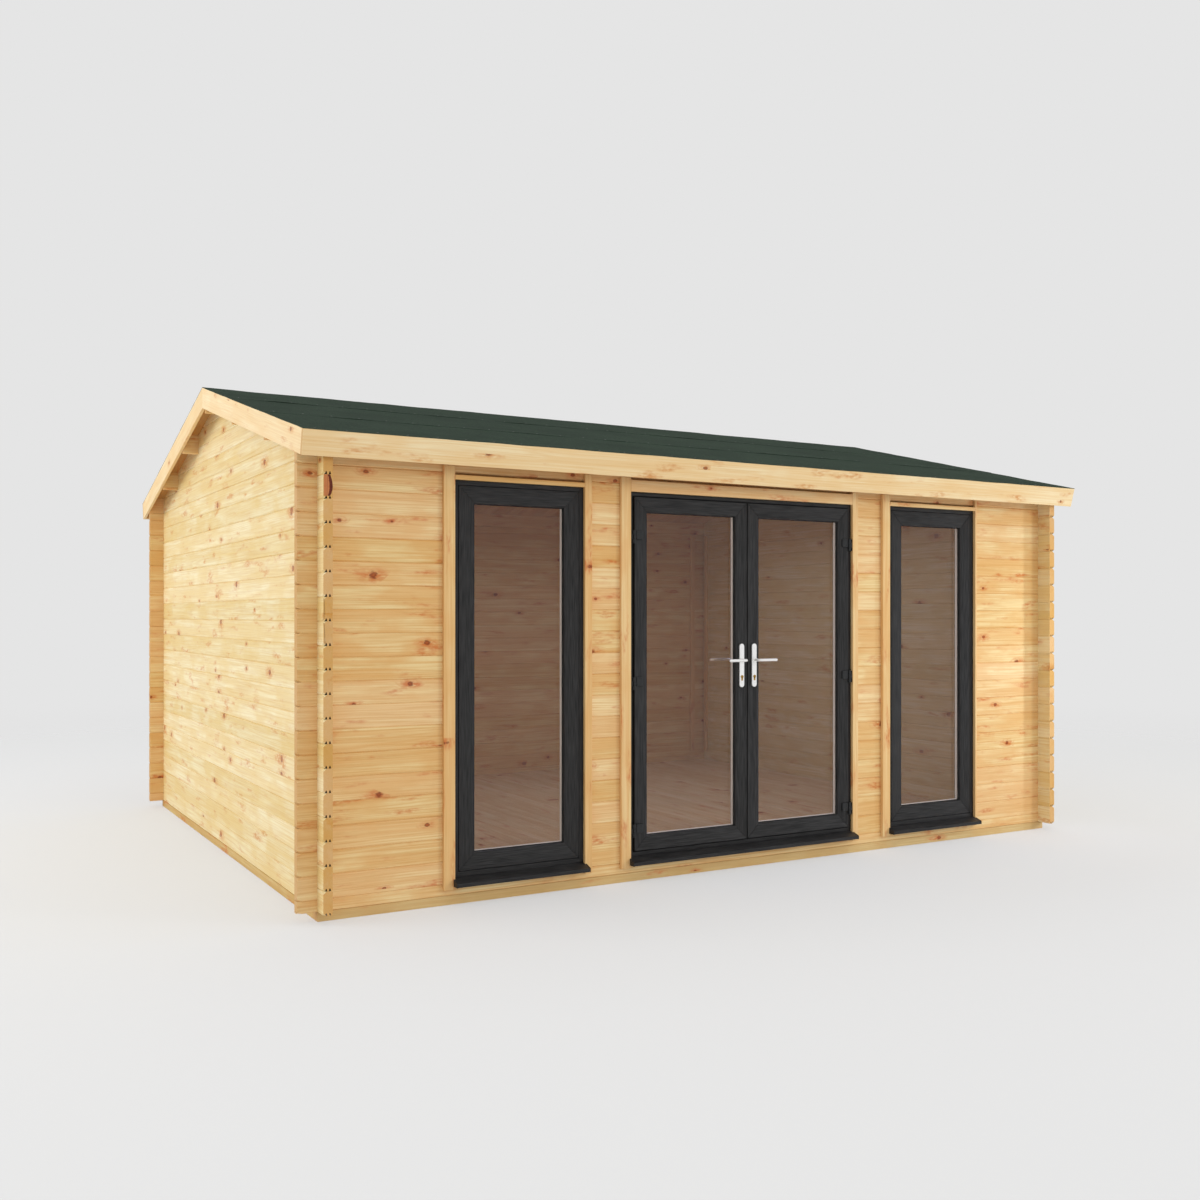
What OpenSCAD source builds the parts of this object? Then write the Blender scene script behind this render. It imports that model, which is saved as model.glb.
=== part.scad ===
// Garden log cabin: interlocking 44 mm logs, a double-pitched felt roof, a pair of glazed
// doors that open outwards and a tall window on each side of them.
// Origin: on the ground, at the middle of the cabin. X runs along the front, Y from front to
// back, Z up. The front faces -Y.

/* [Walls] */
// Width between the outer faces of the side walls
wall_w = 4910; // [4800:10:6200]
// Depth between the outer faces of the front and back walls
wall_d = 3905; // [3200:5:4700]
// Number of whole logs in a side wall
courses = 19; // [19:1:23]
// Thickness of a log
log_t = 44; // [36:1:58]
// Height of a log, from joint to joint
log_h = 112; // [108:1:124]
// How far each log runs past the wall that it crosses
log_end = 94; // [60:1:150]
// Depth of the bevel along each edge of a log
bevel_d = 7; // [3:1:10]
// Height of the bevel along each edge of a log
bevel_h = 8; // [4:1:12]

/* [Base] */
// Height of the bearers under the walls and the floor
bearer_h = 46; // [40:1:70]
// Width of a bearer
bearer_w = 70; // [60:1:95]
// Number of floor joists between the front and back bearers
joists = 7; // [7:1:9]
// Thickness of the floor boards
floor_t = 19; // [16:1:28]
// Gap between the floor and the walls
floor_gap = 4; // [2:1:10]

/* [Roof] */
// Pitch of both slopes, in degrees
pitch = 14; // [10:0.5:20]
// How far the top edge of the eaves stands out from the front and back walls
eave_out = 164; // [120:1:260]
// Height of the roof's outer edge over the top of the side walls
eave_rise = 78; // [70:1:120]
// How far the roof stands out from the side walls
gable_out = 114; // [100:1:240]
// Thickness of the roof boards
board_t = 19; // [16:1:25]
// Thickness of the roof felt
felt_t = 4; // [3:1:6]
// Height of the eave and barge boards
edge_h = 120; // [100:1:150]
// Thickness of the eave and barge boards
edge_t = 19; // [16:1:25]
// Gap between the roof boards and what they lie on or meet
seat_gap = 0.02; // [0.02:0.01:0.1]
// Height of a purlin
purlin_h = 122; // [100:1:150]
// Distance from one purlin to the next, along the floor
purlin_step = 690; // [500:10:900]

/* [Door] */
// Distance from the left end of the front wall to the door frame
door_x = 1687; // [1680:1:1760]
// Width of the door frame
door_w = 1545; // [1400:5:1700]
// Height of the door frame, from the sill up
door_h = 1943; // [1850:1:1945]
// Visible width of the door frame round the leaves
door_frame_face = 28; // [26:1:40]
// Width of the stiles and rails of a leaf
leaf_face = 80; // [70:1:100]
// Gap between the two leaves at the front
leaf_gap = 7; // [6:1:10]

/* [Windows] */
// Distance from the left end of the front wall to the left window frame
left_window_x = 680; // [640:1:700]
// Distance from the left end of the front wall to the right window frame
right_window_x = 3531; // [3525:1:3560]
// Width of a window frame
window_w = 727; // [600:1:735]
// Height of a window frame, from the sill up
window_h = 1950; // [1850:1:1955]
// Visible width of a window frame round its sash
window_frame_face = 49; // [40:1:60]
// Width of the stiles and rails of a window sash
sash_face = 65; // [55:1:80]

/* [Frames] */
// Depth of the frame profiles, from front to back
frame_d = 70; // [60:1:80]
// How far the leaves stand in front of the door frame
leaf_proud = 10; // [8:1:14]
// Gap left between a frame and the logs
fit_gap = 4; // [2:1:8]
// Thickness of one sheet of glass
pane_t = 4; // [4:1:6]
// Clear space between the two sheets of a glazing unit
pane_gap = 16; // [12:1:20]
// How deep the glass sits in its groove
pane_bite = 12; // [8:1:16]
// How far the nose of a sill stands out from the wall
sill_out = 63; // [50:1:80]
// How far a sill runs past its frame at each end
sill_horn = 9; // [6:1:15]

/* [Trims] */
// Thickness of the trims beside the frames
trim_t = 20; // [16:1:25]
// Width of a trim on the left of a frame
trim_left_w = 60; // [50:1:65]
// Width of a trim on the right of a frame
trim_right_w = 42; // [30:1:60]
// Width of the trim at the far right of the front
trim_end_w = 14; // [12:1:30]
// Height of the strip over a window
window_strip_h = 23; // [18:1:25]
// Height of the board over the door
door_strip_h = 61; // [50:1:65]

/* [Ironmongery] */
// Height of the lever handles over the ground
lever_z = 1166; // [950:1:1250]
// Reach of a lever from its pivot
lever_len = 122; // [100:1:140]
// How far a lever stands off its plate
lever_off = 50; // [40:1:60]
// Height of a handle plate
plate_h = 245; // [200:1:260]
// Width of a handle plate
plate_w = 32; // [26:1:36]
// Thickness of a handle plate
plate_t = 10; // [8:1:14]
// Length of a hinge
hinge_h = 68; // [50:1:100]
// Diameter of a hinge barrel
barrel_d = 15; // [12:1:18]

/* [Hidden] */
$fn = 48;

// Extra length that carries a cut clear of the face it passes
cut = 1;

// Walls
left_x = -wall_w / 2;
right_x = wall_w / 2;
front_y = -wall_d / 2;
back_y = wall_d / 2;
wall_top = bearer_h + courses * log_h;
half_log = log_h / 2;
front_log_z = bearer_h + half_log;

// Frames and their openings
sill_rise = 31;
door_head_cut = 32;
frame_z = front_log_z + sill_rise;
open_h = sill_rise + max(window_h + window_strip_h, door_h);
open_courses = ceil(open_h / log_h);
window_head_z = front_log_z + open_courses * log_h;
door_head_z = window_head_z + door_head_cut;
left_window_l = left_x + left_window_x;
right_window_l = left_x + right_window_x;
door_l = left_x + door_x;
door_mid = door_l + door_w / 2;

// Roof lines: a point on the top surface, and depths measured square to the slope
eave_z = wall_top + eave_rise;
eave_y = front_y - eave_out;
slope_rise = tan(pitch);
roof_l = left_x - gable_out;
roof_r = right_x + gable_out;
under_d = felt_t + board_t;
seat_d = under_d + seat_gap;

// Leaves, worked out for the left one and mirrored for the right one
leaf_l = door_l + door_frame_face;
leaf_r = door_mid - leaf_gap / 2;
leaf_z = frame_z + door_frame_face;
leaf_top = frame_z + door_h - door_frame_face;
leaf_front = front_y - leaf_proud;
flange_t = 20;
leaf_back = front_y + 60;
rebate_gap = 6;
lip_w = 16;
meeting_step = 3;
glass_y = leaf_front + 18;
bore_d = 20;
handle_x = leaf_r - leaf_face / 2;

// Hinges: the pivot's place, and their heights from the foot and the top of a leaf
hinge_x = leaf_l - 5;
hinge_y = leaf_front - 7;
pin_d = 7;
pin_play = 1;
hinge_plate_w = 50;
hinge_plate_t = 5;
hinge_plate_in = 2;
knuckle_gap = 1;
hinge_zs = [leaf_z + 109, leaf_z + 893, leaf_top - 213];

// Height of the roof's top surface over a point of the front half
function roof_z(y) = eave_z + (y - eave_y) * slope_rise;

// Height of what the roof boards lie on, over a point of the front half
function seat_z(y) = roof_z(y) - seat_d / cos(pitch);

// A point at the eaves: along the slope from the roof's edge, and down into the roof
function eave_pt(along, down) = [
    eave_y + along * cos(pitch) + down * sin(pitch),
    eave_z + along * sin(pitch) - down * cos(pitch),
];

// A point of the ridge line at a depth below the roof's top surface
function ridge_pt(down) = [0, roof_z(0) - down / cos(pitch)];

// Extrudes an outline given in Y and Z along X
module along_x(from, to) {
    translate([from, 0, 0]) rotate([90, 0, 90]) linear_extrude(height = to - from) children();
}

// Extrudes an outline given in X and Z along Y
module along_y(from, to) {
    translate([0, to, 0]) rotate([90, 0, 0]) linear_extrude(height = to - from) children();
}

module block(lo, hi) {
    translate(lo) cube(hi - lo);
}

// Outline of a stack of logs, with bevelled edges at every joint in zs
module log_outline(zs, at = 0) {
    last = len(zs) - 1;
    up = [for (i = [0 : last]) each [
        if (i > 0) [at, zs[i] - bevel_h],
        [at + bevel_d, zs[i]],
        if (i < last) [at, zs[i] + bevel_h],
    ]];
    down = [for (i = [last : -1 : 0]) each [
        if (i < last) [at + log_t, zs[i] + bevel_h],
        [at + log_t - bevel_d, zs[i]],
        if (i > 0) [at + log_t, zs[i] - bevel_h],
    ]];
    polygon(concat(up, down));
}

// Joint heights from one whole log to another in the front and back walls
function front_joints(from, to) = [for (i = [from : to]) front_log_z + i * log_h];

// Where logs cross, front and back logs keep one half of the height and side logs the other
module crossing_cuts(first_z, y) {
    for (x = [left_x, right_x - log_t]) for (i = [0 : courses])
        translate([x, y, first_z + i * log_h]) cube([log_t, log_t, half_log]);
}

module front_stack(x1, x2, zs, y = front_y) {
    difference() {
        along_x(x1, x2) log_outline(zs, y);
        crossing_cuts(bearer_h + log_h / 4, y);
    }
}

module side_stack(x) {
    difference() {
        along_y(front_y - log_end, back_y + log_end)
            log_outline([for (i = [0 : courses]) bearer_h + i * log_h], x);
        for (y = [front_y, back_y - log_t]) crossing_cuts(bearer_h - log_h / 4, y);
    }
}

// ---- Base ----

module bearer_x(y) {
    color("burlywood") block([left_x, y, 0], [right_x, y + bearer_w, bearer_h]);
}

module bearer_y(x) {
    color("burlywood")
        block([x, front_y + bearer_w, 0], [x + bearer_w, back_y - bearer_w, bearer_h]);
}

module front_bearer() { bearer_x(front_y); }
module back_bearer() { bearer_x(back_y - bearer_w); }
module left_bearer() { bearer_y(left_x); }
module right_bearer() { bearer_y(right_x - bearer_w); }

module floor_joists() {
    step = (wall_d - bearer_w) / (joists + 1);
    color("burlywood") for (i = [1 : joists])
        block([left_x + bearer_w, front_y + i * step, 0],
              [right_x - bearer_w, front_y + i * step + bearer_w, bearer_h]);
}

module floor() {
    inset = log_t + floor_gap;
    color("peru")
        block([left_x + inset, front_y + inset, bearer_h],
              [right_x - inset, back_y - inset, bearer_h + floor_t]);
}

// ---- Walls ----

module front_bottom_log() {
    color("#d9b77c") front_stack(left_x - log_end, right_x + log_end, [bearer_h, front_log_z]);
}

module front_panel(x1, x2) {
    color("#d9b77c") front_stack(x1, x2, front_joints(0, open_courses));
}

module front_wall_left() { front_panel(left_x - log_end, left_window_l - fit_gap); }
module front_pier_left() { front_panel(left_window_l + window_w + fit_gap, door_l - fit_gap); }
module front_pier_right() { front_panel(door_l + door_w + fit_gap, right_window_l - fit_gap); }
module front_wall_right() {
    front_panel(right_window_l + window_w + fit_gap, right_x + log_end);
}

module front_wall_head() {
    color("#d9b77c") difference() {
        front_stack(left_x - log_end, right_x + log_end,
                    concat(front_joints(open_courses, courses - 1), [wall_top]));
        block([door_l - fit_gap, front_y - cut, window_head_z - cut],
              [door_l + door_w + fit_gap, front_y + log_t + cut, door_head_z]);
    }
}

module back_wall() {
    color("#d9b77c")
        front_stack(left_x - log_end, right_x + log_end,
                    concat([bearer_h], front_joints(0, courses - 1), [wall_top]),
                    back_y - log_t);
}

module left_wall() { color("#ecd9a4") side_stack(left_x); }
module right_wall() { color("#ecd9a4") side_stack(right_x - log_t); }

// Everything below the underside of the roof boards, between two distances from the middle
module under_roof(half_depth, x1, x2) {
    low = seat_z(-half_depth);
    top = ridge_pt(seat_d);
    along_x(x1, x2) polygon([
        [-half_depth, wall_top], [half_depth, wall_top], [half_depth, low], top,
        [-half_depth, low],
    ]);
}

module gable(x) {
    rows = ceil((ridge_pt(seat_d)[1] - wall_top) / log_h);
    inner = back_y - log_t;
    color("#ecd9a4") difference() {
        intersection() {
            along_y(-inner, inner)
                log_outline([for (i = [0 : rows]) wall_top + i * log_h], x);
            under_roof(inner, x - cut, x + log_t + cut);
        }
        purlin_pockets();
    }
}

module left_gable() { gable(left_x); }
module right_gable() { gable(right_x - log_t); }

// ---- Roof ----

// One purlin of the front slope, its top bevelled to the slope, y from its outer face;
// over is how far a pocket for it is carried past the top
module purlin_shape(y, over = 0) {
    high = seat_z(y + log_t) + over;
    low = seat_z(y) + over;
    foot = high - over - purlin_h;
    along_x(roof_l + edge_t, roof_r - edge_t) polygon([
        [y + bevel_d, foot], [y + log_t - bevel_d, foot], [y + log_t, foot + bevel_h],
        [y + log_t, high], [y, low], [y, foot + bevel_h],
    ]);
}

module ridge_shape(over = 0) {
    half = log_t / 2;
    side = seat_z(-half) + over;
    foot = side - over - purlin_h;
    along_x(roof_l + edge_t, roof_r - edge_t) polygon([
        [-half + bevel_d, foot], [half - bevel_d, foot], [half, foot + bevel_h],
        [half, side], [0, side + half * slope_rise], [-half, side],
        [-half, foot + bevel_h],
    ]);
}

module front_purlin_pair(over = 0) {
    for (i = [1, 2]) purlin_shape(-i * purlin_step - log_t / 2, over);
}

// The pockets that the purlins leave in a gable, open at the top
module purlin_pockets() {
    ridge_shape(log_t);
    front_purlin_pair(log_t);
    mirror([0, 1, 0]) front_purlin_pair(log_t);
}

// The eave log closes the space between the top of the wall and the roof boards
module eave_log() {
    high = seat_z(front_y + log_t);
    low = seat_z(front_y);
    color("#d9b77c") along_x(roof_l + edge_t, roof_r - edge_t) polygon([
        [front_y + bevel_d, wall_top], [front_y + log_t - bevel_d, wall_top],
        [front_y + log_t, wall_top + bevel_h], [front_y + log_t, high],
        [front_y, low], [front_y, wall_top + bevel_h],
    ]);
}

// A layer of the front slope, between two depths below the roof's top surface
module slope_layer(top_d, low_d) {
    along_x(roof_l + edge_t, roof_r - edge_t)
        polygon([eave_pt(edge_t + seat_gap, top_d), ridge_pt(top_d), ridge_pt(low_d),
                 eave_pt(edge_t + seat_gap, low_d)]);
}

module fascia() {
    color("#ecd29c") along_x(roof_l, roof_r)
        polygon([eave_pt(0, 0), eave_pt(edge_t, 0), eave_pt(edge_t, edge_h),
                 eave_pt(0, edge_h)]);
}

module barge_board(x) {
    along_x(x, x + edge_t)
        polygon([eave_pt(edge_t, 0), ridge_pt(0), ridge_pt(edge_h), eave_pt(edge_t, edge_h)]);
}

module barge_pair(x) {
    color("#ecd29c") {
        barge_board(x);
        mirror([0, 1, 0]) barge_board(x);
    }
}

module front_eave_log() { eave_log(); }
module back_eave_log() { mirror([0, 1, 0]) eave_log(); }
module ridge_purlin() { color("#d9b77c") ridge_shape(); }
module front_purlins() { color("#d9b77c") front_purlin_pair(); }
module back_purlins() { color("#d9b77c") mirror([0, 1, 0]) front_purlin_pair(); }
module front_roof_boards() { color("#c79a5e") slope_layer(felt_t, under_d); }
module back_roof_boards() { color("#c79a5e") mirror([0, 1, 0]) slope_layer(felt_t, under_d); }
module front_felt() { color("#36463a") slope_layer(0, felt_t); }
module back_felt() { color("#36463a") mirror([0, 1, 0]) slope_layer(0, felt_t); }
module front_fascia() { fascia(); }
module back_fascia() { mirror([0, 1, 0]) fascia(); }
module left_barge_boards() { barge_pair(roof_l); }
module right_barge_boards() { barge_pair(roof_r - edge_t); }

// ---- Frames, glass, sills and trims ----

// A rectangular ring in the plane of the front wall: its outline, band width and depth
module ring(x1, z1, x2, z2, band, y1, y2) {
    difference() {
        block([x1, y1, z1], [x2, y2, z2]);
        block([x1 + band, y1 - cut, z1 + band], [x2 - band, y2 + cut, z2 - band]);
    }
}

// Two sheets of glass over an opening, the front one starting at y
module glazing(x1, z1, x2, z2, y) {
    for (from = [y, y + pane_t + pane_gap]) color("#a8b8b8", 0.4)
        block([x1 - pane_bite, from, z1 - pane_bite],
              [x2 + pane_bite, from + pane_t, z2 + pane_bite]);
}

// The groove that the glazing unit sits in
module glazing_groove(x1, z1, x2, z2, y) {
    block([x1 - pane_bite, y, z1 - pane_bite],
          [x2 + pane_bite, y + 2 * pane_t + pane_gap, z2 + pane_bite]);
}

window_z2 = frame_z + window_h;
window_glass_y = front_y + 20;
sash_inset = window_frame_face + sash_face;

module window_frame(x) {
    color("#333435") ring(x, frame_z, x + window_w, window_z2, window_frame_face,
                          front_y, front_y + frame_d);
}

module window_sash(x) {
    color("#333435") difference() {
        ring(x + window_frame_face, frame_z + window_frame_face,
             x + window_w - window_frame_face, window_z2 - window_frame_face,
             sash_face, front_y, front_y + frame_d);
        glazing_groove(x + sash_inset, frame_z + sash_inset, x + window_w - sash_inset,
                       window_z2 - sash_inset, window_glass_y);
    }
}

module window_glass(x) {
    glazing(x + sash_inset, frame_z + sash_inset, x + window_w - sash_inset,
            window_z2 - sash_inset, window_glass_y);
}

// A sill: flat under its frame, sloped in front, with a nose turned down
module sill(x1, x2) {
    back = front_y + frame_d;
    nose = front_y - sill_out;
    nose_t = 7;
    nose_h = 19;
    fall = 22;
    lead = 2;
    slope_z = frame_z - fall;
    color("#333435") difference() {
        along_x(x1 - sill_horn, x2 + sill_horn) polygon([
            [back, front_log_z], [back, frame_z], [front_y - lead, frame_z],
            [nose, slope_z], [nose, slope_z - nose_h], [nose + nose_t, slope_z - nose_h],
            [nose + nose_t, front_log_z],
        ]);
        for (x = [x1 - sill_horn - cut, x2])
            block([x, front_y - trim_t, front_log_z - cut],
                  [x + sill_horn + cut, back + cut, frame_z + cut]);
    }
}

// The trims of one frame: a board on each side and a strip over the frame
module trims(x1, x2, right_w, top_z, strip_h) {
    foot_drop = 26;
    head_drop = 24;
    foot = front_log_z - foot_drop;
    head = wall_top - head_drop;
    color("#e0c088") {
        block([x1 - trim_left_w, front_y - trim_t, foot], [x1, front_y, head]);
        block([x2, front_y - trim_t, foot], [x2 + right_w, front_y, head]);
        block([x1, front_y - trim_t, top_z], [x2, front_y + log_t, top_z + strip_h]);
    }
}

module left_window_frame() { window_frame(left_window_l); }
module left_window_sash() { window_sash(left_window_l); }
module left_window_glass() { window_glass(left_window_l); }
module left_window_sill() { sill(left_window_l, left_window_l + window_w); }
module left_window_trim() {
    trims(left_window_l, left_window_l + window_w, trim_right_w, window_z2, window_strip_h);
}
module right_window_frame() { window_frame(right_window_l); }
module right_window_sash() { window_sash(right_window_l); }
module right_window_glass() { window_glass(right_window_l); }
module right_window_sill() { sill(right_window_l, right_window_l + window_w); }
module right_window_trim() {
    trims(right_window_l, right_window_l + window_w, trim_end_w, window_z2, window_strip_h);
}
module door_sill() { sill(door_l, door_l + door_w); }
module door_trim() {
    trims(door_l, door_l + door_w, trim_right_w, frame_z + door_h, door_strip_h);
}

// ---- Door frame and leaves ----

// The frame has a shallow band at the front and a deeper lip that the leaves close against
module door_frame() {
    face = door_frame_face - rebate_gap;
    color("#333435") difference() {
        ring(door_l, frame_z, door_l + door_w, frame_z + door_h, face + lip_w + rebate_gap,
             front_y, front_y + frame_d);
        block([door_l + face, front_y - cut, frame_z + face],
              [door_l + door_w - face, front_y + flange_t - leaf_proud + rebate_gap,
               frame_z + door_h - face]);
    }
}

// A leaf: a wide flange at the front and a narrower body behind it that fits in the frame
module leaf_shape() {
    body_in = lip_w + 2 * rebate_gap;
    x1 = leaf_l + leaf_face;
    x2 = leaf_r - leaf_face;
    z1 = leaf_z + leaf_face;
    z2 = leaf_top - leaf_face;
    difference() {
        union() {
            block([leaf_l, leaf_front, leaf_z], [leaf_r, leaf_front + flange_t, leaf_top]);
            block([leaf_l + body_in, leaf_front + flange_t - cut, leaf_z + body_in],
                  [leaf_r - meeting_step, leaf_back, leaf_top - body_in]);
        }
        block([x1, leaf_front - cut, z1], [x2, leaf_back + cut, z2]);
        glazing_groove(x1, z1, x2, z2, glass_y);
        translate([handle_x, leaf_front - cut, lever_z]) rotate([-90, 0, 0])
            cylinder(d = bore_d, h = leaf_back - leaf_front + 2 * cut);
    }
}

module leaf_glazing() {
    glazing(leaf_l + leaf_face, leaf_z + leaf_face, leaf_r - leaf_face,
            leaf_top - leaf_face, glass_y);
}

// The half of each hinge on the leaf: a plate and the middle of the barrel
module leaf_hinge_set() {
    third = hinge_h / 3;
    for (z = hinge_zs) difference() {
        union() {
            block([leaf_l + hinge_plate_in, leaf_front - hinge_plate_t, z - hinge_h / 2],
                  [leaf_l + hinge_plate_in + hinge_plate_w, leaf_front, z + hinge_h / 2]);
            block([hinge_x, hinge_y, z - third / 2 + knuckle_gap],
                  [leaf_l + 2 * hinge_plate_in, leaf_front - 1, z + third / 2 - knuckle_gap]);
            translate([hinge_x, hinge_y, z - third / 2 + knuckle_gap])
                cylinder(d = barrel_d, h = third - 2 * knuckle_gap);
        }
        translate([hinge_x, hinge_y, z - hinge_h])
            cylinder(d = pin_d + pin_play, h = 2 * hinge_h);
        for (s = [-1, 1]) translate([hinge_x, hinge_y, z + s * third])
            cylinder(d = barrel_d + 4 * knuckle_gap, h = third + 2 * knuckle_gap, center = true);
    }
}

// The half of each hinge on the frame: a bracket, the two ends of the barrel and the pin
module frame_hinge_set() {
    third = hinge_h / 3;
    web_t = 7;
    foot_l = door_l + 3;
    foot_r = door_l + 12;
    for (z = hinge_zs) {
        translate([hinge_x, hinge_y, z - hinge_h / 2]) cylinder(d = pin_d, h = hinge_h);
        for (s = [-1, 1]) translate([0, 0, z + s * third]) {
            translate([hinge_x, hinge_y, 0]) cylinder(d = barrel_d, h = third, center = true);
            block([foot_l, hinge_y, -third / 2], [hinge_x, hinge_y + web_t, third / 2]);
        }
        block([foot_l, hinge_y, z - hinge_h / 2], [foot_r, front_y, z + hinge_h / 2]);
    }
}

// A plate with round ends, its face at y1 and its back at y2, with a bore for the lever
module handle_plate(y1, y2) {
    plate_drop = 30;
    difference() {
        along_y(y1, y2) hull() for (s = [-1, 1])
            translate([handle_x, lever_z - plate_drop + s * (plate_h - plate_w) / 2])
                circle(d = plate_w);
        translate([handle_x, y1 - cut, lever_z]) rotate([-90, 0, 0])
            cylinder(d = bore_d, h = y2 - y1 + 2 * cut);
    }
}

module handle_plate_pair() {
    handle_plate(leaf_front - plate_t, leaf_front);
    handle_plate(leaf_back, leaf_back + plate_t);
}

// Two levers on one square spindle that runs through the leaf
module lever_pair() {
    neck_d = 16;
    bar_h = 18;
    bar_t = 14;
    spindle = 8 / 2;
    outer = leaf_front - plate_t - lever_off;
    inner = leaf_back + plate_t + lever_off;
    block([handle_x - spindle, outer, lever_z - spindle],
          [handle_x + spindle, inner, lever_z + spindle]);
    for (y = [outer, inner - (lever_off + plate_t / 2)]) translate([handle_x, y, lever_z])
        rotate([-90, 0, 0]) cylinder(d = neck_d, h = lever_off + plate_t / 2);
    for (y = [outer - bar_t / 2, inner - bar_t / 2]) along_y(y, y + bar_t) hull()
        for (x = [handle_x, handle_x - lever_len + bar_h / 2]) translate([x, lever_z])
            circle(d = bar_h);
}

// Copies a left-hand piece to the right-hand leaf
module right_hand() {
    translate([2 * door_mid, 0, 0]) mirror([1, 0, 0]) children();
}

module frame_hinges() {
    color("#2a2b2c") {
        frame_hinge_set();
        right_hand() frame_hinge_set();
    }
}

module left_leaf() { color("#333435") leaf_shape(); }
module left_leaf_glass() { leaf_glazing(); }
module left_leaf_hinges() { color("#2a2b2c") leaf_hinge_set(); }
module left_handle_plates() { color("silver") handle_plate_pair(); }
module left_lever() { color("silver") lever_pair(); }
module right_leaf() { color("#333435") right_hand() leaf_shape(); }
module right_leaf_glass() { right_hand() leaf_glazing(); }
module right_leaf_hinges() { color("#2a2b2c") right_hand() leaf_hinge_set(); }
module right_handle_plates() { color("silver") right_hand() handle_plate_pair(); }
module right_lever() { color("silver") right_hand() lever_pair(); }

front_bearer();
back_bearer();
left_bearer();
right_bearer();
floor_joists();
floor();
front_bottom_log();
front_wall_left();
front_pier_left();
front_pier_right();
front_wall_right();
front_wall_head();
back_wall();
left_wall();
right_wall();
left_gable();
right_gable();
front_eave_log();
back_eave_log();
ridge_purlin();
front_purlins();
back_purlins();
front_roof_boards();
back_roof_boards();
front_felt();
back_felt();
front_fascia();
back_fascia();
left_barge_boards();
right_barge_boards();
left_window_trim();
right_window_trim();
door_trim();
left_window_frame();
left_window_sash();
left_window_glass();
left_window_sill();
right_window_frame();
right_window_sash();
right_window_glass();
right_window_sill();
door_frame();
door_sill();
frame_hinges();
left_leaf();
left_leaf_glass();
left_leaf_hinges();
left_handle_plates();
left_lever();
right_leaf();
right_leaf_glass();
right_leaf_hinges();
right_handle_plates();
right_lever();
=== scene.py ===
"""Looks of a garden log cabin: 44 mm interlocking pine logs, a felted double-pitched roof,
a pair of glazed doors that open outwards and a tall window on each side of them.

Every length is in metres. X runs along the front, Y from front to back, Z up.
"""

import logging
import math
import random
from collections.abc import Callable, Sequence
from dataclasses import dataclass, field
from enum import Enum
from functools import partial

import bmesh
import bpy
import numpy as np
from mathutils import Matrix, Vector


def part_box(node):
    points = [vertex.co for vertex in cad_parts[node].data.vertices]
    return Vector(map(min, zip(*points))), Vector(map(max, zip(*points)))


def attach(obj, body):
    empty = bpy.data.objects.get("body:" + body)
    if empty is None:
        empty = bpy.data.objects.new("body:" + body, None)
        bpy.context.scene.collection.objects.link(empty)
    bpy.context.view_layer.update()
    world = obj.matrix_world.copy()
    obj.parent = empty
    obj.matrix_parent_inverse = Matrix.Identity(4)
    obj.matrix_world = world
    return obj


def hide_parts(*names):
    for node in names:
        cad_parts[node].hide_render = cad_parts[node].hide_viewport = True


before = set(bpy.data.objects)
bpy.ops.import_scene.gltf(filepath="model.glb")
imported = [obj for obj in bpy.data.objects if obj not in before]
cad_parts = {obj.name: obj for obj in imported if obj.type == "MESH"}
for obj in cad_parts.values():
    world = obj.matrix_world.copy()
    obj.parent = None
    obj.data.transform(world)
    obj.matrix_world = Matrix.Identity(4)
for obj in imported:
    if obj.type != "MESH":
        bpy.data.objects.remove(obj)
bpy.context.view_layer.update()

LOG = logging.getLogger("log_cabin")
MM = 0.001
CABIN = "cabin"
SEAL = 1.6 * MM


# ---- Modelling by hand -------------------------------------------------------------------


class Pick(Enum):
    """What a selection in edit mode is made of."""

    VERTS = "VERT"
    EDGES = "EDGE"
    FACES = "FACE"


class Grain(Enum):
    """Way the grain of a board runs: the order of the axes, the one along the grain first."""

    ALONG_X = (0, 1, 2)
    ALONG_Y = (1, 0, 2)
    ALONG_Z = (2, 0, 1)


def deselect() -> None:
    """Leaves nothing selected, so that an operator acts on the new piece alone."""
    for obj in bpy.context.selected_objects:
        obj.select_set(False)


def take(obj: bpy.types.Object) -> None:
    """Makes a piece the only one selected, and the active one.

    Args:
        obj: The piece.
    """
    deselect()
    obj.select_set(True)
    bpy.context.view_layer.objects.active = obj


def settle(obj: bpy.types.Object) -> bpy.types.Object:
    """Puts a piece's place, turn and scale into its mesh.

    Args:
        obj: The piece.

    Returns:
        The same piece.
    """
    take(obj)
    bpy.ops.object.transform_apply(location=True, rotation=True, scale=True)
    return obj


def block(a: Sequence[float], b: Sequence[float]) -> bpy.types.Object:
    """Starts a piece from a cube at its size and place.

    Args:
        a: One of its corners.
        b: The opposite corner.

    Returns:
        The new piece.
    """
    deselect()
    low, high = Vector([*map(min, a, b)]), Vector([*map(max, a, b)])
    bpy.ops.mesh.primitive_cube_add(size=1, location=(low + high) / 2, scale=high - low)
    return settle(bpy.context.active_object)


def sheet(
    middle: Sequence[float],
    size: tuple[float, float],
    turn: Sequence[float] = (0, 0, 0),
    cells: tuple[int, int] = (1, 1),
) -> bpy.types.Object:
    """Starts a piece from a flat grid at its size and place.

    Args:
        middle: Its middle.
        size: Its width and length before it is turned.
        turn: Turn about X, Y and Z, in radians.
        cells: Number of cells along its width and its length.

    Returns:
        The new piece.
    """
    deselect()
    bpy.ops.mesh.primitive_grid_add(
        x_subdivisions=cells[0], y_subdivisions=cells[1], size=1, location=middle, rotation=turn
    )
    piece = bpy.context.active_object
    piece.scale = (size[0], size[1], 1)
    return settle(piece)


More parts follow.
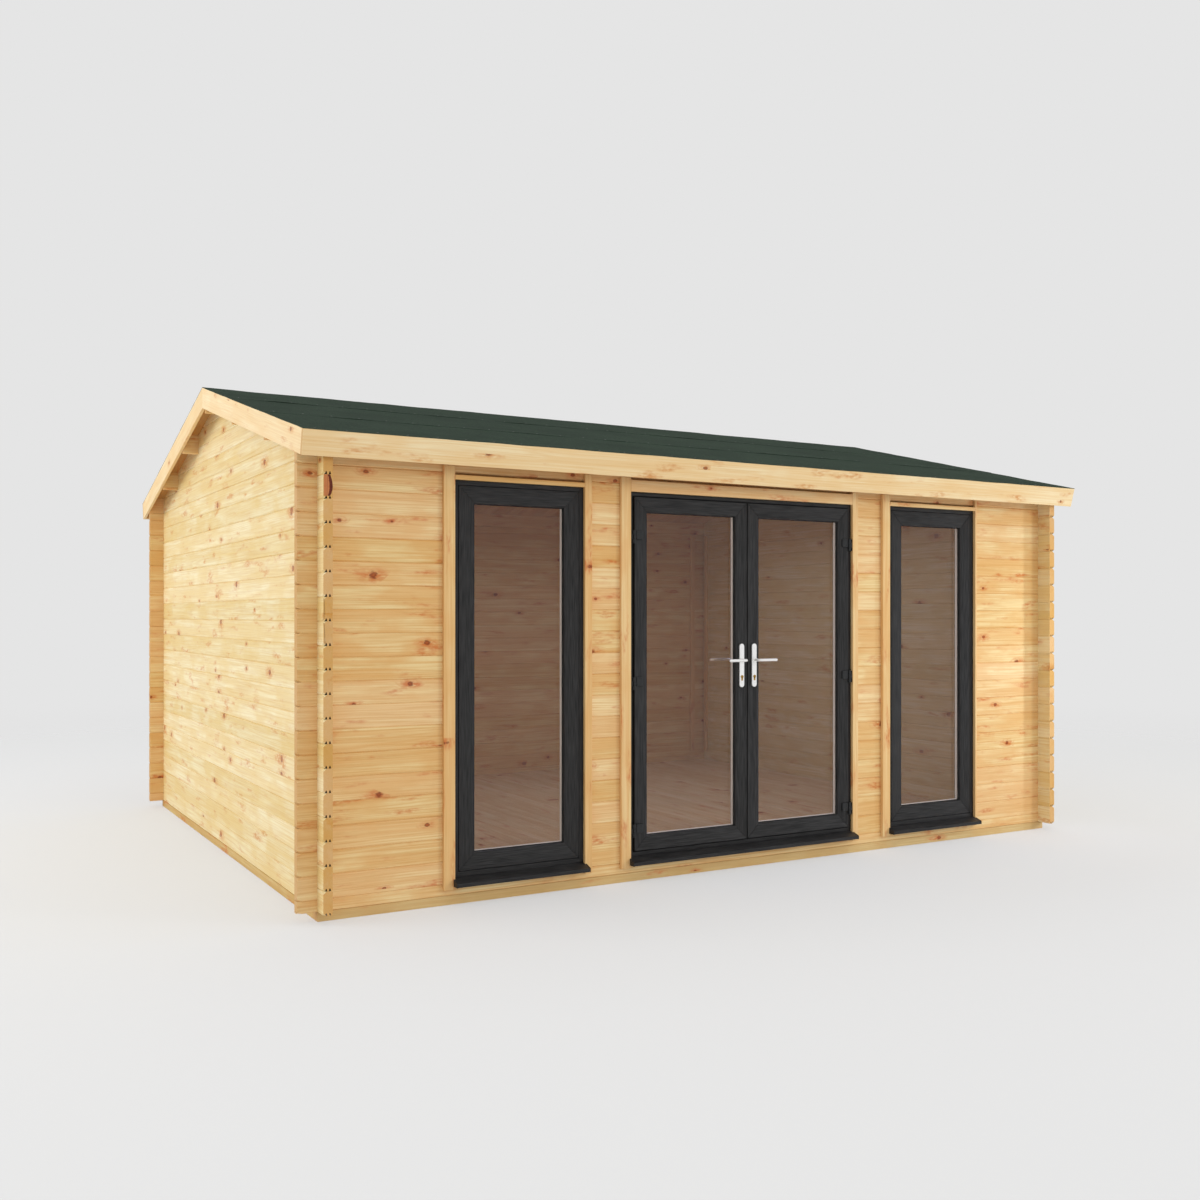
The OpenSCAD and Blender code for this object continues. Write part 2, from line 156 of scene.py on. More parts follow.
def rod(radius: float, start: Sequence[float], end: Sequence[float], sides: int = 24) -> bpy.types.Object:
    """Starts a round piece from a cylinder between two points.

    Args:
        radius: Its radius.
        start: Middle of one end.
        end: Middle of the other end.
        sides: Number of flat sides.

    Returns:
        The new piece.
    """
    deselect()
    a, b = Vector(start), Vector(end)
    turn = (b - a).to_track_quat("Z", "Y").to_euler()
    bpy.ops.mesh.primitive_cylinder_add(
        vertices=sides, radius=radius, depth=(b - a).length, location=(a + b) / 2, rotation=turn
    )
    return settle(bpy.context.active_object)


def edit(obj: bpy.types.Object) -> None:
    """Opens a piece in edit mode, with all of it selected.

    Args:
        obj: The piece.
    """
    take(obj)
    bpy.ops.object.mode_set(mode="EDIT")
    bpy.ops.mesh.select_all(action="SELECT")


def done(outwards: bool = False) -> None:
    """Closes edit mode.

    Args:
        outwards: Whether every face is turned outwards first.
    """
    if outwards:
        bpy.ops.mesh.select_all(action="SELECT")
        bpy.ops.mesh.normals_make_consistent(inside=False)
    bpy.ops.object.mode_set(mode="OBJECT")


def pick(obj: bpy.types.Object, kind: Pick, test: Callable[[Vector, Vector], bool]) -> None:
    """Selects parts of the mesh in edit mode by their place and direction.

    Args:
        obj: The piece, in edit mode.
        kind: Vertices, edges or faces.
        test: Says whether a part is wanted, from its middle and its direction, which is
            the normal of a vertex or face and the run of an edge.
    """
    bpy.ops.mesh.select_mode(type=kind.value)
    bpy.ops.mesh.select_all(action="DESELECT")
    bm = bmesh.from_edit_mesh(obj.data)
    if kind is Pick.VERTS:
        for v in bm.verts:
            v.select = test(v.co, v.normal)
    elif kind is Pick.EDGES:
        for e in bm.edges:
            a, b = e.verts[0].co, e.verts[1].co
            e.select = test((a + b) / 2, (b - a).normalized())
    else:
        bm.normal_update()
        for f in bm.faces:
            f.select = test(f.calc_center_median(), f.normal)
    bm.select_flush_mode()
    bmesh.update_edit_mesh(obj.data)


def chamfer(
    obj: bpy.types.Object, width: float, test: Callable[[Vector, Vector], bool], segments: int = 1
) -> None:
    """Planes chosen edges of a piece down to a bevel.

    Args:
        obj: The piece.
        width: How far the bevel reaches from an edge.
        test: Says whether an edge is wanted, from its middle and its run.
        segments: Number of facets across it.
    """
    edit(obj)
    pick(obj, Pick.EDGES, test)
    bpy.ops.mesh.bevel(offset=width, segments=segments)
    done()


def ease(obj: bpy.types.Object, width: float, segments: int = 2, angle: float = 30) -> None:
    """Rounds the sharp edges of a piece with a bevel modifier, applied.

    Args:
        obj: The piece.
        width: How far the rounding reaches from an edge.
        segments: Number of facets across it.
        angle: Edges sharper than this, in degrees, are rounded.
    """
    take(obj)
    bevel = obj.modifiers.new("ease", "BEVEL")
    bevel.width = width
    bevel.segments = segments
    bevel.limit_method = "ANGLE"
    bevel.angle_limit = math.radians(angle)
    bevel.use_clamp_overlap = True
    bpy.ops.object.modifier_apply(modifier=bevel.name)


def cut_away(obj: bpy.types.Object, cutters: Sequence[bpy.types.Object]) -> None:
    """Cuts other pieces out of a piece with a boolean modifier, and removes them.

    Args:
        obj: The piece.
        cutters: Pieces whose space is cut out.
    """
    tool = join(list(cutters), "cutter")
    take(obj)
    cut = obj.modifiers.new("cut", "BOOLEAN")
    cut.operation = "DIFFERENCE"
    cut.solver = "EXACT"
    cut.use_self = True
    cut.object = tool
    bpy.ops.object.modifier_apply(modifier=cut.name)
    bpy.data.objects.remove(tool)


def saw(obj: bpy.types.Object, point: Sequence[float], normal: Sequence[float]) -> None:
    """Saws off the side of a piece that a plane's normal points to, and closes the cut.

    Args:
        obj: The piece.
        point: A point of the plane.
        normal: Its normal.
    """
    edit(obj)
    bpy.ops.mesh.bisect(plane_co=point, plane_no=normal, use_fill=True, clear_outer=True)
    done()


def copy_of(obj: bpy.types.Object, place: Matrix) -> bpy.types.Object:
    """Copies a piece with its own mesh, and moves the copy.

    Args:
        obj: The piece.
        place: Where the copy goes, from where the piece is.

    Returns:
        The copy.
    """
    twin = obj.copy()
    twin.data = obj.data.copy()
    bpy.context.scene.collection.objects.link(twin)
    twin.data.transform(place)
    twin.data.update()
    return twin


def drop(*objs: bpy.types.Object) -> None:
    """Removes pieces that were only patterns for copies.

    Args:
        objs: The pieces.
    """
    for obj in objs:
        bpy.data.objects.remove(obj)


def join(parts: Sequence[bpy.types.Object], name: str) -> bpy.types.Object:
    """Joins pieces into one.

    Args:
        parts: The pieces.
        name: Name of the joined piece.

    Returns:
        The joined piece.
    """
    take(parts[0])
    for part in parts[1:]:
        part.select_set(True)
    if len(parts) > 1:
        bpy.ops.object.join()
    parts[0].name = name
    return parts[0]


def dress(obj: bpy.types.Object, finish: "Finish") -> None:
    """Gives the whole of a piece one finish.

    Args:
        obj: The piece.
        finish: Its finish.
    """
    obj.data.materials.clear()
    obj.data.materials.append(finish.material())


def fit(parts: Sequence[bpy.types.Object], finish: "Finish", name: str, body: str, *nodes: str) -> None:
    """Makes one piece of its parts, gives it its finish and fits it to the frame.

    Args:
        parts: The parts.
        finish: Their finish, which also says how soft their shading is.
        name: Name of the piece.
        body: The body it moves with.
        nodes: The nodes it stands for.
    """
    piece = join(parts, name)
    piece.data.name = name
    if finish.soft:
        take(piece)
        bpy.ops.object.shade_smooth_by_angle(angle=math.radians(finish.soft))
    dress(piece, finish)
    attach(piece, body)
    if nodes:
        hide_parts(*nodes)
    LOG.info("%s: %d faces", name, len(piece.data.polygons))


def mark(
    obj: bpy.types.Object, name: str, values: Sequence[float], kind: str = "FLOAT", domain: str = "FACE"
) -> None:
    """Writes a value for each part of a mesh, for the piece's finish to read.

    Args:
        obj: The piece.
        name: Name of the attribute.
        values: The values, in the order of the parts.
        kind: Type of the attribute.
        domain: Kind of part that has a value.
    """
    attributes = obj.data.attributes
    layer = attributes.get(name) or attributes.new(name, kind, domain)
    layer.data.foreach_set("vector" if kind == "FLOAT_VECTOR" else "value", values)


def lay_grain(obj: bpy.types.Object, grain: Grain, rng: random.Random, spread: float = 0.06) -> None:
    """Gives a board its own piece of timber: the place of each point in the tree it came from.

    The timber finish reads it, so rings, knots and end grain run true through each board and
    no two boards look alike. It is laid on before a board is turned to its slope.

    Args:
        obj: The board.
        grain: Way its grain runs.
        rng: Draws where in the tree the board was cut.
        spread: How far the heart of the tree lies from the board's middle, at least.
    """
    mesh = obj.data
    count = len(mesh.vertices)
    place = np.empty(count * 3, np.float32)
    mesh.vertices.foreach_get("co", place)
    place = place.reshape(-1, 3)[:, grain.value]
    middle = (place.min(0) + place.max(0)) / 2
    side = rng.choice((-1, 1))
    heart = (0.0, side * rng.uniform(1.0, 2.2) * spread, rng.uniform(-1, 1) * spread)
    along = rng.uniform(0, 60)
    own = (place - middle - np.array(heart, np.float32)).astype(np.float32)
    own[:, 0] += along
    mark(obj, "grain", np.ascontiguousarray(own).ravel(), "FLOAT_VECTOR", "POINT")
    mark(obj, "tone", np.full(count, rng.random(), np.float32), "FLOAT", "POINT")
    axis = grain.value[0]
    mark(obj, "cut_end", [float(abs(face.normal[axis]) > 0.7) for face in mesh.polygons])


def plank(
    lo: Sequence[float], hi: Sequence[float], grain: Grain, rng: random.Random, eased: float = 1.5 * MM
) -> bpy.types.Object:
    """Makes one board with eased edges and its own grain.

    Args:
        lo: Lowest corner.
        hi: Highest corner.
        grain: Way its grain runs.
        rng: Draws the board's timber.
        eased: Width of the rounding of its edges.

    Returns:
        The board.
    """
    board = block(lo, hi)
    edit(board)
    bpy.ops.mesh.bevel(offset=eased, segments=2, affect="EDGES")
    done()
    lay_grain(board, grain, rng)
    return board


# ---- Finishes ----------------------------------------------------------------------------


def hex_colour(code: str) -> tuple[float, float, float, float]:
    """Turns an sRGB hex colour to linear.

    Args:
        code: Six hex digits after a hash sign.

    Returns:
        Red, green, blue and alpha.
    """
    parts = [int(code[i : i + 2], 16) / 255 for i in (1, 3, 5)]
    linear = [p / 12.92 if p <= 0.04045 else ((p + 0.055) / 1.055) ** 2.4 for p in parts]
    return (linear[0], linear[1], linear[2], 1.0)


def add_node(
    tree: bpy.types.NodeTree,
    kind: str,
    inputs: dict | None = None,
    out: int | str = 0,
    **settings: object,
) -> bpy.types.NodeSocket:
    """Adds a node with its settings and links.

    Args:
        tree: The material's node tree.
        kind: The node's type.
        inputs: Values of its sockets by name or number: an output socket is linked.
        out: The output that is wanted.
        settings: The node's own properties.

    Returns:
        The output socket.
    """
    node = tree.nodes.new(kind)
    for name, value in settings.items():
        setattr(node, name, value)
    for key, value in (inputs or {}).items():
        if isinstance(value, bpy.types.NodeSocket):
            tree.links.new(value, node.inputs[key])
        else:
            node.inputs[key].default_value = value
    return node.outputs[out]


@dataclass(frozen=True)
class Finish:
    """A finish: a named material that is built once and shared.

    The slot is the record's material slot, and edges less sharp than soft, in degrees, are
    shaded smooth.
    """

    name: str
    slot: str = ""
    soft: float = 0

    def material(self) -> bpy.types.Material:
        """Finds the finish's material, or builds it the first time.

        Returns:
            The material.
        """
        made = bpy.data.materials.get(self.name)
        if made is None:
            made = bpy.data.materials.new(self.name)
            made.use_nodes = True
            made.node_tree.nodes.clear()
            out = made.node_tree.nodes.new("ShaderNodeOutputMaterial")
            made.node_tree.links.new(self.shade(partial(add_node, made.node_tree)), out.inputs["Surface"])
        return made

    def shade(self, node: Callable[..., bpy.types.NodeSocket]) -> bpy.types.NodeSocket:
        """Builds the finish's nodes.

        Args:
            node: Adds a node to the finish's material.

        Returns:
            The shader's output.
        """
        raise NotImplementedError


@dataclass(frozen=True)
class Timber(Finish):
    """Planed softwood, cut from a round tree: growth rings, long streaks of resin and knots.

    A knot is a branch that runs out from the heart, so it shows as a round spot on one face
    and the grain swerves round it. The end of a board shows the rings as arcs, and is darker.
    """

    early: str = "#f0d6a0"
    late: str = "#d09b58"
    warm: str = "#e2b276"
    flush: str = "#c96a35"
    knot: str = "#7a2f12"
    end: str = "#c4965a"
    # Painted shade: colour put on the faces inside the gaps along a log's foot
    dark: str = "#2a160b"
    ring: float = 6.5 * MM
    knot_pitch: float = 0.26
    knot_turn: float = 1.9
    knot_size: float = 17 * MM
    knot_share: float = 0.2
    depth: float = 0.5
    roughness: float = 0.52

    def shade(self, node: Callable[..., bpy.types.NodeSocket]) -> bpy.types.NodeSocket:
        """Builds the finish's nodes.

        Args:
            node: Adds a node to the finish's material.

        Returns:
            The shader's output.
        """
        vector, maths, step = "ShaderNodeVectorMath", "ShaderNodeMath", "ShaderNodeMapRange"
        soft = {"interpolation_type": "SMOOTHSTEP"}
        own = node("ShaderNodeAttribute", out="Vector", attribute_name="grain")
        tone = node("ShaderNodeAttribute", out="Fac", attribute_name="tone")
        cut_end = node("ShaderNodeAttribute", out="Fac", attribute_name="cut_end")
        along, side, up = node("ShaderNodeSeparateXYZ", {0: own}).node.outputs
        across = node(vector, {0: own, 1: (0, 1, 1)}, operation="MULTIPLY")
        radius = node(vector, {0: across}, "Value", operation="LENGTH")
        angle = node(maths, {0: up, 1: side}, operation="ARCTAN2")

        # Cloudy patterns, in cycles to the metre along and across the grain
        clouds = {}
        for name, scale, detail in (
            ("wander", (0.8, 5, 5), 2.0),
            ("fibre", (3, 190, 190), 4.0),
            ("streak", (1.6, 60, 60), 3.0),
            ("drift", (0.8, 14, 14), 2.0),
            ("blush", (4, 19, 19), 5.0),
            ("ragged", (30, 80, 80), 3.0),
            ("mottle", (3.5, 8, 8), 3.0),
        ):
            stretched = node(vector, {0: own, 1: scale}, operation="MULTIPLY")
            clouds[name] = node("ShaderNodeTexNoise", {"Vector": stretched, "Scale": 1.0, "Detail": detail})

        # Branches: how far the nearest one is, in metres over the face and drawn out along it
        turns = node(maths, {0: angle, 1: 1 / self.knot_turn}, operation="MULTIPLY")
        pitches = node(maths, {0: along, 1: 1 / self.knot_pitch}, operation="MULTIPLY")
        spot = node("ShaderNodeCombineXYZ", {0: pitches, 1: turns})
        branch = node(
            "ShaderNodeTexVoronoi", {"Vector": spot, "Scale": 1.0}, "Position", voronoi_dimensions="2D"
        ).node.outputs
        apart = node(vector, {0: spot, 1: branch["Position"]}, operation="SUBTRACT")
        girth = node(maths, {0: radius, 1: self.knot_turn}, operation="MULTIPLY")
        metres = node("ShaderNodeCombineXYZ", {0: self.knot_pitch, 1: girth})
        offset = node(vector, {0: apart, 1: metres}, operation="MULTIPLY")
        near = node(vector, {0: offset, 1: (0.7, 1, 0)}, operation="MULTIPLY")
        drawn = node(vector, {0: offset, 1: (0.4, 1, 0)}, operation="MULTIPLY")
        chance = node("ShaderNodeSeparateColor", {0: branch["Color"]})
        grown = node(maths, {0: chance, 1: 1 - self.knot_share}, operation="GREATER_THAN")
        width = node(
            step,
            {"Value": chance, "From Min": 1 - self.knot_share, "To Min": 7 * MM, "To Max": self.knot_size},
        )
        size = node(maths, {0: grown, 1: width, 2: 0.1 * MM}, operation="MULTIPLY_ADD")
        reach = node(vector, {0: near}, "Value", operation="LENGTH")
        core_at = node(maths, {0: reach, 1: size}, operation="DIVIDE")
        core_at = node(maths, {0: clouds["ragged"], 1: 2.0, 2: core_at}, operation="MULTIPLY_ADD")
        far_reach = node(vector, {0: drawn}, "Value", operation="LENGTH")
        halo_at = node(maths, {0: far_reach, 1: size}, operation="DIVIDE")
        rim = node(step, {"Value": core_at, "From Min": 2.1, "From Max": 1.5, "To Max": 0.85}, **soft)
        heart = node(step, {"Value": core_at, "From Min": 1.6, "From Max": 1.1, "To Max": 0.45}, **soft)
        halo = node(step, {"Value": halo_at, "From Min": 2.8, "From Max": 0.4}, **soft)

        # Rings round the heart of the tree, wandering along it and swerving round a knot
        bent = node(maths, {0: clouds["wander"], 1: 0.04, 2: radius}, operation="MULTIPLY_ADD")
        bent = node(maths, {0: halo, 1: 0.016, 2: bent}, operation="MULTIPLY_ADD")
        phase = node(maths, {0: bent, 1: 2 * math.pi / self.ring}, operation="MULTIPLY")
        wave = node(maths, {0: phase}, operation="SINE")
        rings = node(step, {"Value": wave, "From Min": -0.2}, **soft)
        patchy = node(
            step,
            {"Value": clouds["drift"], "From Min": 0.3, "From Max": 0.7, "To Min": 0.1, "To Max": self.depth},
        )
        strength = node(maths, {0: rings, 1: patchy}, operation="MULTIPLY")

        # Each layer of colour follows one cloud, from where it starts to where it is full
        warmth, mottling, streaks, fibres, resin = (
            node(step, {"Value": clouds[name], "From Min": low, "From Max": high, "To Max": most}, **soft)
            for name, low, high, most in (
                ("drift", 0.38, 0.66, 0.6),
                ("mottle", 0.42, 0.64, 0.65),
                ("streak", 0.42, 0.7, 0.6),
                ("fibre", 0.42, 0.72, 0.5),
                ("blush", 0.57, 0.72, 0.75),
            )
        )
        torn = node(step, {"Value": clouds["ragged"], "From Min": 0.3, "From Max": 0.62})
        resin = node(maths, {0: resin, 1: torn}, operation="MULTIPLY")
        stain = node(maths, {0: halo, 1: torn}, operation="MULTIPLY")
        stain = node(maths, {0: stain, 1: 0.8}, operation="MULTIPLY")
        ending = node(maths, {0: cut_end, 1: 0.75}, operation="MULTIPLY")
        # Painted shade: the faces inside the gaps along a log's foot take the dark colour, standing in for
        # the shade in them
        painted_gap_shade = node("ShaderNodeAttribute", out="Fac", attribute_name="painted_gap_shade")
        colour: object = hex_colour(self.early)
        for amount, layer in (
            (strength, self.late),
            (warmth, self.warm),
            (mottling, self.warm),
            (streaks, self.warm),
            (fibres, self.late),
            (resin, self.flush),
            (stain, self.flush),
            (rim, self.knot),
            (heart, self.flush),
            (ending, self.end),
            (painted_gap_shade, self.dark),
        ):
            colour = node(
                "ShaderNodeMix", {0: amount, 6: colour, 7: hex_colour(layer)}, 2, data_type="RGBA"
            )
        value = node(step, {"Value": tone, "To Min": 0.95, "To Max": 1.03})
        richness = node(step, {"Value": tone, "To Min": 1.08, "To Max": 0.97})
        toned = node(
            "ShaderNodeHueSaturation", {"Saturation": richness, "Value": value, "Color": colour}
        )
        height = node(maths, {0: rings, 1: 0.6, 2: clouds["fibre"]}, operation="MULTIPLY_ADD")
        bump = node("ShaderNodeBump", {"Strength": 0.45, "Distance": 0.5 * MM, "Height": height})
        rough = node(
            step, {"Value": rings, "To Min": self.roughness + 0.06, "To Max": self.roughness - 0.06}
        )
        return node(
            "ShaderNodeBsdfPrincipled",
            {"Base Color": toned, "Roughness": rough, "Normal": bump, "Specular IOR Level": 0.35},
        )


@dataclass(frozen=True)
class Foil(Finish):
    """uPVC with a dark woodgrain foil: fine raised grain along each member, a low sheen."""

    dark: str = "#121212"
    pale: str = "#363535"
    grain: float = 4.0 * MM

    def shade(self, node: Callable[..., bpy.types.NodeSocket]) -> bpy.types.NodeSocket:
        """Builds the finish's nodes.

        Args:
            node: Adds a node to the finish's material.

        Returns:
            The shader's output.
        """
        place = node("ShaderNodeTexCoord", out="Object")
        upright = node("ShaderNodeAttribute", out="Fac", attribute_name="upright")
        x, y, z = node("ShaderNodeSeparateXYZ", {0: place}).node.outputs
        turned = node("ShaderNodeCombineXYZ", {0: z, 1: y, 2: x})
        along = node("ShaderNodeMix", {0: upright, 4: place, 5: turned}, 1, data_type="VECTOR")
        # Real pores are about 1 mm wide; they are drawn coarser, so that they show
        fine = node(
            "ShaderNodeVectorMath", {0: along, 1: (9, 1 / self.grain, 1 / self.grain)}, operation="MULTIPLY"
        )
        emboss = node("ShaderNodeTexNoise", {"Vector": fine, "Scale": 1.0, "Detail": 4.0})
        shade = node("ShaderNodeMapRange", {"Value": emboss, "From Min": 0.3, "From Max": 0.7})
        colour = node(
            "ShaderNodeMix",
            {0: shade, 6: hex_colour(self.dark), 7: hex_colour(self.pale)},
            2,
            data_type="RGBA",
        )
        rough = node("ShaderNodeMapRange", {"Value": emboss, "To Min": 0.34, "To Max": 0.56})
        bump = node("ShaderNodeBump", {"Strength": 0.5, "Distance": 0.4 * MM, "Height": emboss})
        return node(
            "ShaderNodeBsdfPrincipled",
            {"Base Color": colour, "Roughness": rough, "Normal": bump, "Specular IOR Level": 0.25},
        )


@dataclass(frozen=True)
class Felt(Finish):
    """Roofing felt faced with green mineral: matt, coarse granules, darker where they are thin."""

    dark: str = "#243027"
    pale: str = "#39483b"
    granule: float = 7 * MM

    def shade(self, node: Callable[..., bpy.types.NodeSocket]) -> bpy.types.NodeSocket:
        """Builds the finish's nodes.

        Args:
            node: Adds a node to the finish's material.

        Returns:
            The shader's output.
        """
        place = node("ShaderNodeTexCoord", out="Object")
        # Real granules are about 1.5 mm; they are drawn coarser, so that they show
        grit = node("ShaderNodeTexVoronoi", {"Vector": place, "Scale": 1 / self.granule}).node.outputs
        wear = node("ShaderNodeTexNoise", {"Vector": place, "Scale": 2.6, "Detail": 4.0})
        tint = node("ShaderNodeSeparateColor", {0: grit["Color"]})
        share = node("ShaderNodeMath", {0: tint, 1: wear}, operation="MULTIPLY")
        spread = node("ShaderNodeMapRange", {"Value": share, "From Max": 0.6})
        colour = node(
            "ShaderNodeMix",
            {0: spread, 6: hex_colour(self.dark), 7: hex_colour(self.pale)},
            2,
            data_type="RGBA",
        )
        bump = node(
            "ShaderNodeBump", {"Strength": 0.6, "Distance": 1.2 * MM, "Height": grit["Distance"]}
        )
        rough = node("ShaderNodeMapRange", {"Value": tint, "To Min": 0.86, "To Max": 0.97})
        return node(
            "ShaderNodeBsdfPrincipled",
            {"Base Color": colour, "Roughness": rough, "Normal": bump, "Specular IOR Level": 0.06},
        )


@dataclass(frozen=True)
class Glass(Finish):
    """Clear float glass with a slightly warm tint: sharp reflections, seen through."""

    tint: str = "#faf6f3"

    def shade(self, node: Callable[..., bpy.types.NodeSocket]) -> bpy.types.NodeSocket:
        """Builds the finish's nodes.

        Args:
            node: Adds a node to the finish's material.

        Returns:
            The shader's output.
        """
        see = node("ShaderNodeBsdfTransparent", {"Color": hex_colour(self.tint)})
        place = node("ShaderNodeTexCoord", out="Object")
        roll = node("ShaderNodeTexNoise", {"Vector": place, "Scale": 1.2, "Detail": 1.0})
        wave = node("ShaderNodeBump", {"Strength": 0.05, "Distance": 2 * MM, "Height": roll})
        shine = node("ShaderNodeBsdfGlossy", {"Roughness": 0.03, "Normal": wave})
        edge = node("ShaderNodeFresnel", {"IOR": 1.5})
        # Only the outer side of a sheet mirrors: light leaving it isn't bent here
        inner = node("ShaderNodeNewGeometry", out="Backfacing")
        outer = node("ShaderNodeMath", {0: 1.0, 1: inner}, operation="SUBTRACT")
        share = node("ShaderNodeMath", {0: edge, 1: outer}, operation="MULTIPLY")
        return node("ShaderNodeMixShader", {0: share, 1: see, 2: shine})


@dataclass(frozen=True)
class Metal(Finish):
    """Metal with a fine drawn surface: polished steel, brass, galvanised or painted."""

    colour: str = "#dcdad6"
    shadow: str = "#b9b7b3"
    metallic: float = 1.0
    polish: float = 0.16
    scratch: float = 1.5 * MM

    def shade(self, node: Callable[..., bpy.types.NodeSocket]) -> bpy.types.NodeSocket:
        """Builds the finish's nodes.

        Args:
            node: Adds a node to the finish's material.

        Returns:
            The shader's output.
        """
        place = node("ShaderNodeTexCoord", out="Object")
        drawn = node(
            "ShaderNodeVectorMath", {0: place, 1: (60, 60, 1 / self.scratch)}, operation="MULTIPLY"
        )
        lines = node("ShaderNodeTexNoise", {"Vector": drawn, "Scale": 1.0, "Detail": 2.0})
        colour = node(
            "ShaderNodeMix",
            {0: lines, 6: hex_colour(self.colour), 7: hex_colour(self.shadow)},
            2,
            data_type="RGBA",
        )
        rough = node(
            "ShaderNodeMapRange", {"Value": lines, "To Min": self.polish, "To Max": self.polish + 0.12}
        )
        return node(
            "ShaderNodeBsdfPrincipled",
            {"Base Color": colour, "Roughness": rough, "Metallic": self.metallic},
        )


PLANED_PINE = Timber("planed pine logs", "log_pine")
# Painted light: the side walls' pine is paler and less saturated than the front's, standing in for the
# stronger light on the sides; its fewer, larger knots are the timber's own
PAINTED_LIGHT_SIDE_PINE = Timber(
    "planed pine side logs",
    "side_log_pine",
    early="#f2e4bb",
    late="#d8b272",
    warm="#e6c98a",
    flush="#cf8440",
    knot="#8e4119",
    end="#ce9650",
    knot_share=0.13,
    knot_size=19 * MM,
)
TRIM_PINE = Timber(
    "planed pine trims", "trim_pine", early="#eecf98", late="#d3a05e", knot_share=0.2, knot_size=9 * MM
)
EDGE_PINE = Timber(
    "planed pine edge boards",
    "edge_board_pine",
    early="#f4dfb4",
    late="#e1b779",
    warm="#edcb96",
    flush="#cf8644",
    knot_share=0.2,
    depth=0.6,
)
ROOF_PINE = Timber(
    "planed pine roof boards", "roof_board_pine", early="#d9b27a", late="#b98247", warm="#c7935a"
)
FLOOR_PINE = Timber(
    "planed pine floor boards", "floor_pine", early="#f0d9b2", late="#d6ac76", warm="#e2bf90"
)
BEARER_PINE = Timber(
    "sawn pine bearers", "bearer_pine", early="#d8bd86", late="#bd9558", warm="#cba468", roughness=0.7
)
BARK = Timber(
    "pine bark",
    "side_log_pine",
    early="#7c3418",
    late="#37100a",
    warm="#5a2212",
    flush="#2a0b07",
    end="#50200f",
    knot_share=0.0,
)
BAST = Timber(
    "pine bast",
    "side_log_pine",
    early="#d89a66",
    late="#8a3f1e",
    warm="#c07244",
    flush="#762c14",
    end="#b66f44",
    knot_share=0.0,
)
FOILED_UPVC = Foil("foiled upvc", "foiled_upvc", 35)
MINERAL_FELT = Felt("mineral felt", "mineral_felt", 40)
CLEAR_GLASS = Glass("float glass", "clear_glass")
POLISHED_STEEL = Metal(
    "satin stainless steel", "polished_handle", 35, "#ffffff", "#f3f2ef", metallic=0.65, polish=0.3
)
BRASS = Metal("drawn brass", "polished_handle", 35, "#c9a04e", "#8f6b2c", polish=0.25)
SPACER_ALLOY = Metal(
    "mill aluminium spacer", "hinge_metal", 0, "#f6f6f4", "#e8e8e6", metallic=0.0, polish=0.4
)
GALVANISED = Metal("galvanised steel", "hinge_metal", 0, "#7a7d7a", "#5a5d5a", polish=0.55)
PAINTED_METAL = Metal(
    "painted hinge metal", "hinge_metal", 35, "#1d1e1f", "#141516", metallic=0.0, polish=0.5
)
RUBBER = Metal("moulded rubber seal", "foiled_upvc", 0, "#141414", "#1d1d1d", metallic=0.0, polish=0.6)


# ---- Logs and walls ----------------------------------------------------------------------


@dataclass
class LogSizes:
    """Section of a log and how logs lock into each other."""

    thickness: float = 44 * MM
    height: float = 112 * MM
    bevel: float = 4.5 * MM
    tongue_gap_h: float = 13 * MM
    end: float = 94 * MM
    end_cut: tuple[float, float, float] = (34 * MM, 16 * MM, 13 * MM)


